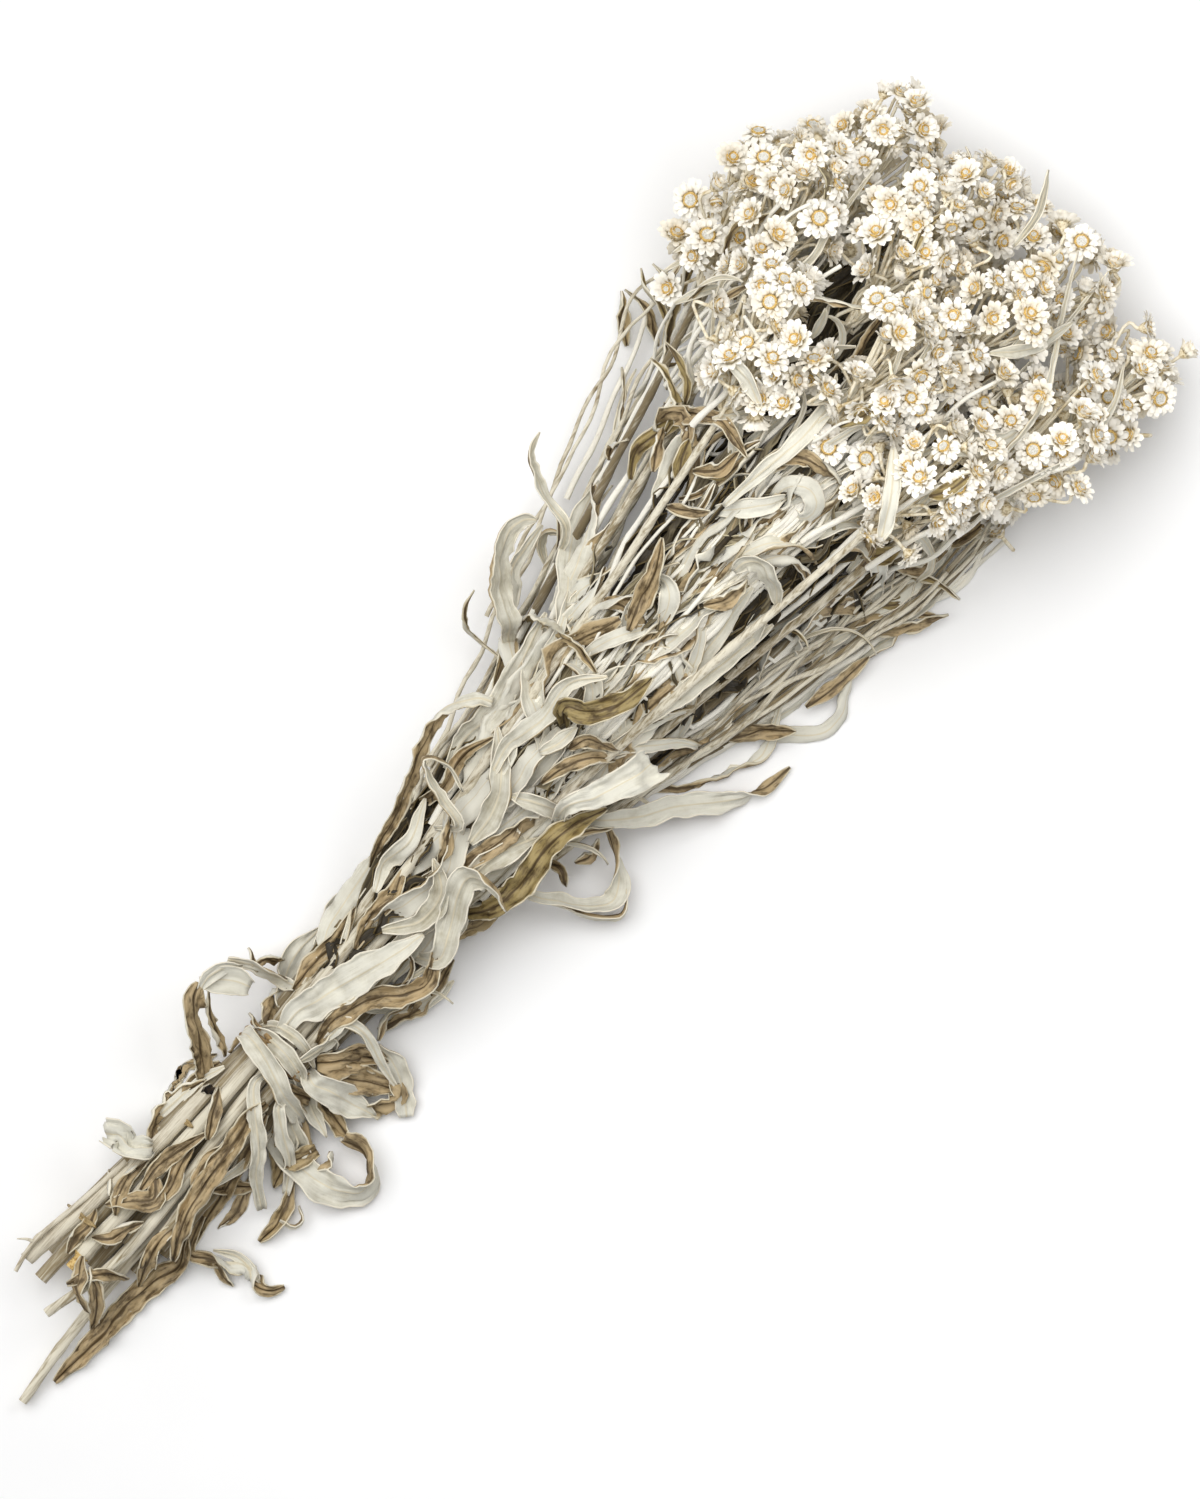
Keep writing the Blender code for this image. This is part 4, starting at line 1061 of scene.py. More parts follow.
def fan_strands(look, rng):
    """Lines of the pale side stems that lie on the stack."""
    lines = []
    for number, ((radius,), _, points) in enumerate(TOP_STEMS):
        laid = smooth_route([(x, y, stack_top(x, y) + LEAST_Z) for x, y in points], STRAND_POINTS)
        route = wavering(laid, 1.6, 300 + number)
        lines.append((route, tapered(route, float(radius), 0.3, 19, number), 0.0))
    for number in range(look.strands):
        start, end = rng.uniform(-40, 50), rng.uniform(96, 134)
        skirt = number % 4 > 0
        across = rng.uniform(-1.35, -0.5) if skirt else rng.uniform(-0.5, 0.95)
        drift = rng.uniform(-0.2, 0.1)
        route = []
        for t in shares(STRAND_POINTS):
            place = stack_place(start + (end - start) * t, max(-1.35, min(1.0, across + drift * t)), 1.0)
            place.z = max(stack_top(place.x, place.y), LEAST_Z) + 2.4 * sin(pi * t) - 1.5 * (1 - t) ** 4
            route.append(place)
        route = off_floor(wavering(route, 3.0, 400 + number))
        thick = rng.uniform(0.6, 1.0) if skirt else rng.uniform(0.4, 0.6)
        if not in_hollow(route):
            lines.append((route, tapered(route, thick, 0.3, 19, number), 0.1))
    return lines


def flower_strands(look, rng):
    """Lines of the pale stems over the flower heads and of the bare strands between them."""
    lines = []
    for number, ((radius,), _, points) in enumerate(OVER_FLOWERS):
        raised = [(x, y, top + 1.5) for (x, y), top in zip(points, smooth_tops(points))]
        route = wavering(smooth_route(raised, STRAND_POINTS), 2.5, 470 + number)
        lines.append((route, tapered(route, float(radius), 0.4, 17, number), 0.0))
    for number in range(look.flower_strands):
        spray = rng.choice([spray for spray in SPRAYS if spray.middle.z > 24 or abs(spray.middle.y) > 34])
        first = (rng.uniform(88, 112), 0.8 * spray.middle.y + rng.gauss(0, 3))
        last = (spray.middle.x + rng.uniform(-8, 8), spray.middle.y + rng.gauss(0, 7))
        low, high = stack_top(*first), spray.top(*last)[0] + 1.0
        points = []
        for step in range(6):
            x, y = (a + (b - a) * step / 5 + rng.gauss(0, 1.4) for a, b in zip(first, last))
            points.append((x, y, max(low + (high - low) * step / 5 + rng.uniform(-1.5, 1.5), 1.5)))
        route = wavering(smooth_route(points, 50), 5.0, 500 + number)
        thick = rng.uniform(0.45, 0.75)
        if not in_hollow(route):
            lines.append((route, tapered(route, thick, 0.3, 13, number), 0.0))
    return lines


class BUNCH_OT_side_stems(bpy.types.Operator):
    """Make the thin side stems that fill the fan between the main stems"""

    bl_idname = "bunch.side_stems"
    bl_label = "Side Stems"

    def execute(self, context):
        look = context.scene.bunch_stems
        rng = Random(3)
        hand_over(tubes("side_stems", deep_stems(look, rng), THIN_SIDES, finish(woolly_stem, look)), "stem")
        lines = fan_strands(look, rng) + flower_strands(look, rng)
        hand_over(tubes("pale_strands", lines, THIN_SIDES, finish(pale_stem, look)), "stem")
        return {"FINISHED"}


TWINE_TURNS = (-1.7, 0.0, 1.7)  # X of the turns, from the middle one
TWISTS = 36  # of the two strands in one turn


class BUNCH_OT_tie(bpy.types.Operator):
    """Make the turns of two-strand twine round the waist of the bunch"""

    bl_idname = "bunch.tie"
    bl_label = "Tie"

    def execute(self, context):
        look = context.scene.bunch_stems
        strand = 0.52 * TWINE_RADIUS
        reach = STEM_RADIUS + GAP + TWINE_RADIUS
        places = [(WAIST_Y + column * STEM_PITCH, ROW_Z[row]) for row, column, *_ in STEMS.values()]
        corners = []
        for step in range(48):
            angle = tau * step / 48
            y, z = max(places, key=lambda place: place[0] * cos(angle) + place[1] * sin(angle))
            corners.append(Vector((0, y + reach * cos(angle), z + reach * sin(angle))))
        corners.append(corners[0].copy())
        loop = smooth_route(corners, 241)[:-1]
        middle = sum(loop, Vector()) / len(loop)
        lines = []
        for turn in TWINE_TURNS:
            for ply in (0, 1):
                points = []
                for index, place in enumerate(loop):
                    twist = tau * TWISTS * index / len(loop) + pi * ply
                    out = (place - middle).normalized()
                    lean = 0.5 * sin(tau * index / len(loop) + turn)
                    points.append(place + Vector((TIE_X + turn + lean, 0, 0))
                                  + strand * (out * cos(twist) + Vector((sin(twist), 0, 0))))
                lines.append((points, [strand] * len(points), 0.5))
        piece = tubes("tie", lines, 6, finish(twisted_twine, look), closed=True)
        hand_over(piece, "twine", "tie")
        return {"FINISHED"}


def leaf_frames(route):
    """Place, tangent and seen side's normal along a leaf, each turned by its point's tilt."""
    frames = []
    last = Vector((0.0, 0.2, 1.0))
    for index, point in enumerate(route):
        ahead = route[min(index + 1, len(route) - 1)].to_3d()
        behind = route[max(index - 1, 0)].to_3d()
        tangent = (ahead - behind).normalized()
        level = UP - tangent * tangent.z
        carried = last - tangent * last.dot(tangent)
        normal = (level + 0.35 * carried).normalized()
        last = normal
        frames.append((point.to_3d(), tangent, Matrix.Rotation(radians(point.w), 3, tangent) @ normal))
    return frames


POINTED = 0.985  # share of the half wave of width at which a pointed leaf ends
LARGE_COLUMNS = (0.0, 0.08, 0.28, 0.48, 0.62, 0.74, 0.86, 1.0)
FINE_PITCH = 1.2
SMALL_COLUMNS = (0.0, 0.36, 0.62, 0.82, 1.0)


def add_leaf(bm, side_seen, width, points, rng, pitch=FINE_PITCH, tone=None, tip=POINTED, fullness=0.72,
             curl=1.0, crinkle=1.0):
    """Adds one dry leaf to BM, with its edges rolled, its rim ruffled and its midrib raised.

    Rows lie PITCH apart, and only a leaf with fine ones has all the columns. TIP below one cuts
    the point off, a lower FULLNESS gives straighter sides, CURL rolls the edges and CRINKLE
    ruffles and pleats the blade.
    """
    floats = bm.verts.layers.float
    edge_layer, tone_layer = (floats.get(label) or floats.new(label) for label in ("edge", "tone"))
    uv_layer = bm.loops.layers.uv.get("leaf") or bm.loops.layers.uv.new("leaf")
    tone = rng.random() if tone is None else tone
    phase = rng.uniform(0, 50)
    columns = LARGE_COLUMNS if pitch == FINE_PITCH else SMALL_COLUMNS
    length = length_of([Vector(p) for p in points])
    rows = max(9, int(length / pitch))
    route = smooth_route(points, rows)
    cup = curl * rng.uniform(0.1, 0.9)
    roll = curl * rng.uniform(0.3, 1.9)
    ruffle, crease = (0.8, 0.8) if side_seen == "dry" else (0.34, 0.3)
    sway = 0.14 * width * crinkle
    along = 0.0
    grid = []
    for row, (place, tangent, normal) in enumerate(leaf_frames(route)):
        t = row / (rows - 1)
        if row:
            along += (route[row].to_3d() - route[row - 1].to_3d()).length
        across = normal.cross(tangent)
        place = place + normal * sway * noise.noise(Vector((along / 5.5, phase + 30, 0)))
        full = sin(pi * (0.05 + (tip - 0.05) * t)) ** fullness
        half = width / 2 * max(0.14 if t < 0.5 else 0.05, full)
        line = {}
        for sign in (-1, 1):
            half_here = half * (1 + 0.3 * noise.noise(Vector((along / 4.5, phase, sign * 3))))
            edge_roll = roll * (0.6 + 1.3 * noise.noise(Vector((along / 11, phase + 5, sign * 2))))
            flat, high = 0.0, 0.0
            for column, share in enumerate(columns):
                if column:
                    before = columns[column - 1]
                    middle = (share + before) / 2
                    rolled = min(max((middle - 0.5) / 0.5, 0), 1) ** 1.5
                    slope = cup * middle + edge_roll * rolled
                    flat += cos(slope) * (share - before) * half_here
                    high += sin(slope) * (share - before) * half_here
                wave = ruffle * share ** 1.5 * noise.noise(Vector((along / 2.4, phase, sign * (1 + share))))
                fold = crease * noise.noise(Vector((along / 5, phase + 9, 3.0 * sign * share)))
                rib = (0.3 if side_seen == "felt" else -0.3) if column == 0 else 0.0
                raised = high + crinkle * half_here * (wave + fold) + rib
                spot = place + across * flat * sign + normal * raised
                spot.z = max(spot.z, FLOOR_GAP)
                if column == 0 and sign == 1:
                    continue
                vert = bm.verts.new(spot * MM)
                vert[edge_layer] = (1 - share) * half_here * MM
                vert[tone_layer] = tone
                line[sign * column] = (vert, sign * flat * MM)
        grid.append((along * MM, [line[key] for key in sorted(line)]))
    kind = {"felt": 0, "dry": 1, "scale": 3}[side_seen]
    for (low, first), (high, second) in zip(grid, grid[1:]):
        for left in range(len(first) - 1):
            right = left + 1
            corners = [(first[left], low), (second[left], high), (second[right], high), (first[right], low)]
            face = bm.faces.new([vert for (vert, _), _ in corners])
            face.smooth = True
            face.material_index = kind
            for loop, ((_, offset), distance) in zip(face.loops, corners):
                loop[uv_layer].uv = (offset, distance)


def leaf_object(name, bm, look):
    """Turns BM into an object of leaves with a real thickness; each leaf has wool on one side."""
    wool, dry, scale = (finish(make, look) for make in (woolly_underside, dry_upper_side, leaf_scale))
    piece = new_object(name, mesh_of(name, bm), wool, dry, wool, scale, scale)
    body = piece.modifiers.new("thickness", "SOLIDIFY")
    body.thickness = look.thickness
    body.offset = 0.0
    body.material_offset = 1
    return piece


SLOT_OF_SIDE = {"felt": "pale_leaf", "dry": "brown_leaf"}
OLIVE_TONE = 0.9  # tone of an olive leaf
# brown_top_leaf's tone of 1 adds a little painted shade
OLIVE_LEAVES = {"long_olive_leaf": OLIVE_TONE, "brown_top_leaf": 1.0}


class BUNCH_OT_large_leaves(bpy.types.Operator):
    """Make the curled leaves that stand out, each on its own stem"""

    bl_idname = "bunch.large_leaves"
    bl_label = "Large Leaves"

    def execute(self, context):
        look = context.scene.bunch_leaves
        lines = {"broken_stem": ([Vector(p) for p in BROKEN_STEM], [BROKEN_STEM_RADIUS] * len(BROKEN_STEM)),
                 **{stem: line[:2] for stem, line in LINES.items()}}
        for number, ((name, side, width, stem, x, angle), form, points) in enumerate(LEAVES):
            middle, radius = point_on_line(*lines[stem], float(x))
            around = radians(float(angle))
            foot = middle + Vector((0, cos(around), sin(around))) * (radius + 0.2)
            bm = bmesh.new()
            rng = Random(number)
            tone = OLIVE_LEAVES.get(name, rng.uniform(0.1, 0.5))
            add_leaf(bm, side, float(width), [(*foot, points[0][3]), *points], rng, tone=tone, **form)
            slot = "olive_leaf" if name in OLIVE_LEAVES else SLOT_OF_SIDE[side]
            hand_over(leaf_object(name, bm, look), slot, name)
        return {"FINISHED"}


FAN_LIFT = 2.6  # how far single leaves of the fan lie above the stack

# Olive leaves on the fan: width and points; Z is counted from the stack below the first point.
OLIVE_FAN_LEAVES = table("""
3.4: 88 30 0 0, 93 31.5 1.5 30, 97 35 2.5 60, 99.5 40 2 60, 100 45 0 40
3: 97 31 0 0, 101 33.5 2 -30, 104 38 2.5 -50, 105.5 45 1.5 -40
4.6: 74 29 0.5 0, 80 32.5 2.5 20, 87 31.5 4.5 -15, 93 29.5 5.5 20, 98 29 5.5 0
4.8: 81 19.6 1 0, 86 22.6 2.6 15, 91 24.4 2 0
4.6: 86.6 15.6 1.5 0, 90 12.8 3.6 20, 94.6 11.4 4.4 0
5: 97.6 -27.6 1 0, 101 -31 1.5 15, 105 -33.6 -1 0
4.4: 90 -37 1 0, 94 -41 -0.6 20, 99 -43.4 -2.5 0
1.8: 100 -38 1 0, 104 -43 1 30, 106 -48 -1.5 60
2.2: 109 47 0 0, 112 52 2 40, 113 58 3 60, 116 62 2.5 50
""")


class BUNCH_OT_loose_leaves(bpy.types.Operator):
    """Make the other single leaves, laid over the stack of stems"""

    bl_idname = "bunch.loose_leaves"
    bl_label = "Loose Leaves"

    def execute(self, context):
        look = context.scene.bunch_leaves
        rng = Random(23)
        bm = bmesh.new()
        for (side, width, tone), _, points in FLOWER_LEAVES:
            laid = [(x, y, max(top + above, 1.5), tilt)
                    for top, (x, y, above, tilt) in zip(smooth_tops(points), points)]
            add_leaf(bm, side, float(width), laid, rng, tone=float(tone))
        hand_over(leaf_object("leaves_among_flowers", bm, look), "olive_leaf")
        for name, leaves in LOOSE_LEAVES.items():
            lift = FAN_LIFT if name == "middle_leaves" else 0.0
            bm = bmesh.new()
            for (side, width), form, points in leaves:
                laid = [(x, y, stack_top(x, y) + above + lift, tilt) for x, y, above, tilt in points]
                add_leaf(bm, side, float(width), laid, rng, tone=rng.uniform(0, 0.62), **form)
            hand_over(leaf_object(name, bm, look), "pale_leaf")
        bm = bmesh.new()
        for (width,), _, points in OLIVE_FAN_LEAVES:
            foot = stack_top(*points[0][:2]) + FAN_LIFT
            laid = [(x, y, max(foot + above, stack_top(x, y) + 1.0), tilt) for x, y, above, tilt in points]
            add_leaf(bm, "dry", float(width), laid, rng, tone=OLIVE_TONE)
        hand_over(leaf_object("olive_fan_leaves", bm, look), "olive_leaf")
        return {"FINISHED"}


def flowing_leaf(rng, x, across, up, length, wander, twist):
    """Points of a long leaf that runs with the stems from X, wanders aside and twists."""
    side = rng.choice((-1, 1))
    backward = -1 if x > -10 and rng.random() < 0.2 else 1
    waves = rng.uniform(0.5, 1.3)
    tilt = rng.uniform(-30, 30)
    rng.random()  # spare draw: it keeps every later leaf as it is
    points = []
    for t in shares(8):
        place = stack_place(x + backward * length * t, across, up)
        place.y += side * wander * (sin(pi * waves * t) + 0.4 * t * t)
        points.append((place.x, place.y, max(place.z, 1.0), tilt + twist * t))
    return points


def draped_leaf(rng, x, across, length, wander, twist):
    """Points of a long leaf that comes up from between the stems at X, runs over them and dips in again."""
    side = rng.choice((-1, 1))
    waves = rng.uniform(0.4, 1.2)
    phase = rng.uniform(0, 50)
    tilt = rng.uniform(-30, 30)
    rise = rng.uniform(0.5, 4.0)
    end = 5.0 if rng.random() < 0.35 else -3.5
    points = []
    for t in shares(10):
        place = stack_place(x + length * t, across, 1.0)
        place.y += side * wander * sin(pi * waves * t) + 2.6 * noise.noise(Vector((place.x / 13, phase, 0)))
        height = stack_top(place.x, place.y) + rise * sin(pi * t) - 2.0 * (1 - t) ** 3 + end * t ** 4
        place.z = max(height, 1.0)
        points.append((*place, tilt + twist * t))
    return points


def roaming_leaf(rng, x, across, length, bend, lift, twist):
    """Points of a leaf that starts on the stack at X and roams over it, and turns over at its tip."""
    steps = 8
    middle, half, _ = section(x)
    place = Vector((x, middle + across * half, 0))
    angle = rng.gauss(0, 0.35)
    phase = rng.uniform(0, 50)
    tilt = rng.uniform(-30, 30)
    height = stack_top(place.x, place.y)
    points = []
    for t in shares(steps + 1):
        height = max(stack_top(place.x, place.y), height - 1.1 * length / steps, 0.6)
        raised = height - 1.0 + lift * sin(pi * (0.1 + 0.75 * t))
        points.append((place.x, place.y, raised, tilt + twist * t * t))
        angle += (bend * (0.3 + t) + 2.2 * noise.noise(Vector((3 * t, phase, 0)))) / steps
        place = place + Vector((cos(angle), sin(angle), 0)) * length / steps
        middle, half, _ = section(place.x)
        reach = half * (1.05 if place.x < 30 else 1.18)
        place.y = max(middle - reach, min(middle + reach, place.y))
    return points


def curling_leaf(rng, start, heading, length, bend, droop):
    """Points of a leaf that leaves START along HEADING, curls sideways by BEND and sinks by DROOP."""
    steps = 7
    place = Vector(start)
    direction = Vector(heading).normalized()
    tilt = rng.uniform(-30, 30)
    turn = rng.choice((-1, 1)) * rng.uniform(20, 80)
    points = [(*place, tilt)]
    for t in shares(steps + 1)[1:]:
        turned = Matrix.Rotation(bend * 2 * t / steps, 3, "Z") @ direction
        direction = (turned - UP * droop * t / steps).normalized()
        place = place + direction * length / steps
        place.z = max(place.z, 0.8)
        points.append((*place, tilt + turn * t))
    return points


# Places where one looks deep into the bunch: x, y, reach along X and number of dark leaves there, which paint
# the shade in the gap.
GAPS = points_of("""
  12 6 16 9, 8 -7 16 9, -6 10 12 5, 22 -10 14 6, 70 -14 18 7, 86 -19 14 5, 62 16 16 6, 84 8 14 6,
  88 -33 16 8, 62 -30 12 4, 45 -21 12 6, -40 6 12 4, -58 4 12 4, -24 10 10 4, 46 4 14 5
""")


def in_gap(points):
    """Whether the middle of a leaf is over one of the gaps."""
    x, y = points[len(points) // 2][:2]
    return any(abs(x - place[0]) < 0.7 * place[2] and abs(y - place[1]) < 3.4 for place in GAPS)


# Leaves on top of the stack, low on the bunch and on the fan: which of them roam, the length, bend
# and lift of those, the length and wander of the others, the width, the pitch of the rows, the
# tone of the shaded ones, which paints their shade, and the share that is left out over the gaps. Pairs are
# limits.
COVER = {"roaming": 3, "roam": ((24, 48), 1.3, (2, 7)), "drape": ((34, 66), (0, 8)), "width": (5.4, 9.4),
         "pitch": 1.8, "shade": (1.5, 2.1), "left_out": 0.85}
FAN = {"roaming": 2, "roam": ((16, 36), 2.6, (2, 9)), "drape": ((24, 52), (3, 14)), "width": (2.6, 6.4),
       "pitch": 1.6, "shade": (1.6, 2.2), "left_out": 0.9}
DEEP_TONE = 2.3  # tone of the darkest leaves: painted shade


def top_leaf(bm, rng, kind, number, x, across, side, twist):
    """Adds leaf NUMBER of its KIND on top of the stack; every third one is painted in shade and lies deeper.
    """
    shaded = number % 3 == 1 and abs(across) < 0.85
    if number % kind["roaming"] == 0 and not shaded:
        reach, bend, lift = kind["roam"]
        points = roaming_leaf(rng, x, across, rng.uniform(*reach), rng.gauss(0, bend), rng.uniform(*lift),
                              twist)
    else:
        reach, wander = kind["drape"]
        points = draped_leaf(rng, x, across, rng.uniform(*reach), rng.uniform(*wander), twist)
    if shaded:
        points = [(x, y, max(z - 1.2, 0.8), tilt) for x, y, z, tilt in points]
    elif in_gap(points) and rng.random() < kind["left_out"]:
        return
    add_leaf(bm, side, rng.uniform(*kind["width"]), points, rng, kind["pitch"],
             tone=rng.uniform(*(kind["shade"] if shaded else (0, 0.4))), fullness=0.5,
             curl=rng.choice((-1, 1)) * rng.uniform(0.8, 2.0))


def pick_side(rng, woolly):
    """The side that a leaf shows: the felted one for the share WOOLLY of them."""
    return "felt" if rng.random() < woolly else "dry"


def add_cover_leaves(bm, look, rng):
    """Leaves on top of the stack, first low on the bunch and then on the fan."""
    for number in range(look.cover_leaves):
        x, across = rng.uniform(-70, 30), rng.uniform(-1, 1)
        if x < -38 and -0.75 < across < 0.8:
            continue
        side = pick_side(rng, 0.86)
        twist = rng.choice((-1, 1)) * (rng.uniform(120, 200) if number % 4 == 0 else rng.uniform(0, 50))
        top_leaf(bm, rng, COVER, number, x, across, side, twist)
    for number in range(look.fan_leaves):
        x = rng.uniform(14, 100)
        across = rng.uniform(-1.35, 0.75 if x > 45 else 1.0)
        side = pick_side(rng, 0.74)
        top_leaf(bm, rng, FAN, number, x, across, side, rng.choice((-1, 1)) * rng.uniform(40, 240))


def add_inner_leaves(bm, look, rng):
    """Dark leaves that paint the shade between the stems, just below the outer ones, in the gaps and in the
    hollow.
    """
    for _ in range(look.inner_leaves):
        x = rng.uniform(-84, 100)
        across, up = rng.uniform(-0.95, 0.95), rng.uniform(0.15, 0.92)
        if x > 10 and across > OPEN_SIDE - 0.1:
            continue
        side = pick_side(rng, 0.3)
        points = flowing_leaf(rng, x, across, up, rng.uniform(20, 55), rng.uniform(0.5, 5),
                              rng.uniform(-150, 150))
        # painted shade: the deeper a leaf lies, the darker its tone
        add_leaf(bm, side, rng.uniform(3.0, 6.4), points, rng, 2.4, tone=2.5 - 0.7 * up)
    for _ in range(look.shade_leaves):
        x, across, up = rng.uniform(-50, 104), rng.uniform(-0.9, 0.85), rng.uniform(0.5, 0.8)
        if x > 10 and across > OPEN_SIDE - 0.1:
            continue
        points = flowing_leaf(rng, x, across, up, rng.uniform(24, 44), rng.uniform(0.5, 4),
                              rng.uniform(-60, 60))
        add_leaf(bm, "dry", rng.uniform(5.0, 9.0), points, rng, 2.6, tone=DEEP_TONE)
    for x, y, reach, count in GAPS:
        for _ in range(int(count)):
            start = Vector((x + rng.uniform(-reach, reach / 2), y + rng.gauss(0, 2.6), 0))
            points = []
            for step in range(4):
                p = start + Vector((step * reach / 4, step * rng.gauss(0, 0.8), 0))
                points.append((p.x, p.y, stack_top(p.x, p.y) + rng.uniform(0.4, 1.6), rng.uniform(-40, 40)))
            add_leaf(bm, "dry", rng.uniform(2.6, 4.4), points, rng, 2.6, tone=DEEP_TONE)
    for _ in range(look.hollow_leaves):
        x, y = HOLLOW[0] + rng.uniform(-16, 12), HOLLOW[1] + rng.uniform(-13, 13)
        start = (x - 10, y, rng.uniform(16, 44))
        heading = (1, rng.gauss(0, 0.4), 0)
        points = curling_leaf(rng, start, heading, rng.uniform(18, 30), rng.gauss(0, 0.8), 0.1)
        add_leaf(bm, "dry", rng.uniform(3.0, 7.0), points, rng, 2.6, tone=rng.uniform(1.6, 2.1))


def add_curled_leaves(bm, look, rng):
    """Short narrow leaves that curl out of the stack; every second one stands at its side."""
    for number in range(look.curled_leaves):
        x = rng.uniform(-70, 112)
        across = rng.choice((-1, 1)) if number % 2 else rng.uniform(-0.8, 0.8)
        if x < 28 and across > 0.8:
            across = -1
        middle, half, _ = section(x)
        y = middle + across * half
        start = (x, y, stack_top(x, y) * 0.75 + 0.8 if abs(across) < 1 else rng.uniform(2, 18))
        heading = (rng.uniform(0.5, 1.2), across * rng.uniform(0.0, 0.9), rng.uniform(0.2, 0.8))
        side = pick_side(rng, 0.6)
        points = curling_leaf(rng, start, heading, rng.uniform(10, 34 if x > 20 else 20), rng.gauss(0, 1.4),
                              rng.uniform(0.6, 2.4))
        add_leaf(bm, side, rng.uniform(1.4, 3.2), points, rng, 1.6, curl=1.8)


def add_flower_leaves(bm, look, rng):
    """Narrow leaves that come up behind the sprays."""
    for _ in range(look.flower_leaves):
        middle = Vector(rng.choice(SPRAY_MIDDLES))
        start = middle + Vector((rng.uniform(-30, 2), rng.uniform(-9, 9), rng.uniform(-9, 4)))
        start.z = max(start.z, 1.5)
        heading = (1, rng.gauss(0, 0.4), rng.gauss(0, 0.3))
        side = pick_side(rng, 0.8)
        points = curling_leaf(rng, start, heading, rng.uniform(8, 20), rng.gauss(0, 0.8),
                              rng.uniform(-0.5, 0.5))
        add_leaf(bm, side, rng.uniform(1.4, 3.2), points, rng, 2.0, tone=rng.uniform(0, 0.5))


class BUNCH_OT_small_leaves(bpy.types.Operator):
    """Make the small leaves that cover the stems and fill the gaps between them"""

    bl_idname = "bunch.small_leaves"
    bl_label = "Small Leaves"

    def execute(self, context):
        look = context.scene.bunch_leaves
        rng = Random(look.seed)
        for name, add_leaves, slot in (("cover_leaves", add_cover_leaves, "pale_leaf"),
                                       ("inner_leaves", add_inner_leaves, "brown_leaf"),
                                       ("curled_leaves", add_curled_leaves, "pale_leaf"),
                                       ("flower_leaves", add_flower_leaves, "olive_leaf")):
            bm = bmesh.new()
            add_leaves(bm, look, rng)
            hand_over(leaf_object(name, bm, look), slot)
        return {"FINISHED"}


def bract_mesh(length, width):
    """A pointed papery bract along X, closed, with its upper side at +Z and "along" from foot to tip."""
    rows = ((0.0, 0.5, -0.02), (0.45, 0.95, 0.08), (0.88, 0.78, 0.05))
    verts, along = [], []
    for place, share, rise in rows:
        half = width / 2 * share
        x, z = length * place, length * rise
        verts += [(x, -half, z + 0.22 * half), (x, 0, z), (x, half, z + 0.22 * half), (x, 0, z - 0.09 * MM)]
        along += [place] * 4
    verts.append((length, 0, length * -0.04))
    along.append(1.0)
    tip = len(verts) - 1
    faces = [(3, 2, 1, 0)]
    sides = ((0, 1), (1, 2), (2, 3), (3, 0))
    for a in range(0, tip - 4, 4):
        faces += [(a + i, a + j, a + 4 + j, a + 4 + i) for i, j in sides]
    faces += [(tip - 4 + i, tip - 4 + j, tip) for i, j in sides]
    mesh = new_mesh("bract", verts, faces=faces)
    mesh.shade_smooth()
    for edge in mesh.edges:
        low, high = sorted(edge.vertices)
        edge.use_edge_sharp = (high - low == 4 or high == tip) and low % 4 in (0, 2)
    keep(mesh, "along", along)
    return mesh


PARTS = {"bract": 0, "base": 1, "florets": 2, "centre": 3}
CORE_SIDES = 12
CORE_FOOT = [(0.4, -3.6), (1.0, -3.1), (1.75, -2.0), (2.1, -0.8), (2.05, 0.0)]  # radius and height
OPEN_TOP = [(1.95, 0.4), (1.75, 0.65), (1.45, 0.45), (0.7, 0.5)]
FULL_TOP = [(1.5, 0.4), (1.15, 0.75), (0.8, 0.9), (0.4, 0.8)]


def core_mesh(top, florets_to, name):
    """Foot and disc of a flower head, with the part of each face kept as a number."""
    profile = CORE_FOOT + top
    verts, faces, parts = [], [], []
    sides = [(side, (side + 1) % CORE_SIDES) for side in range(CORE_SIDES)]
    for level, (radius, height) in enumerate(profile):
        for side in range(CORE_SIDES):
            angle = tau * (side + 0.5 * (level % 2)) / CORE_SIDES
            grainy = 0.13 * (-1) ** (side + level) if level >= len(CORE_FOOT) else 0
            verts.append((radius * cos(angle) * MM, radius * sin(angle) * MM, (height + grainy) * MM))
    verts += [(0, 0, (profile[0][1] - 0.05) * MM), (0, 0, (profile[-1][1] + 0.1) * MM)]
    for level in range(len(profile) - 1):
        a, b = level * CORE_SIDES, (level + 1) * CORE_SIDES
        part = PARTS["base"] if level < len(CORE_FOOT) - 1 else PARTS["florets"]
        if level >= len(CORE_FOOT) - 1 + florets_to:
            part = PARTS["centre"]
        faces += [(a + side, a + after, b + after, b + side) for side, after in sides]
        parts += [part] * CORE_SIDES
    for side, after in sides:
        faces += [(after, side, len(verts) - 2), (b + side, b + after, len(verts) - 1)]
        parts += [PARTS["base"], part]
    mesh = new_mesh(name, verts, faces=faces)
    mesh.shade_smooth()
    keep(mesh, "part", parts, "INT", "FACE")
    return mesh


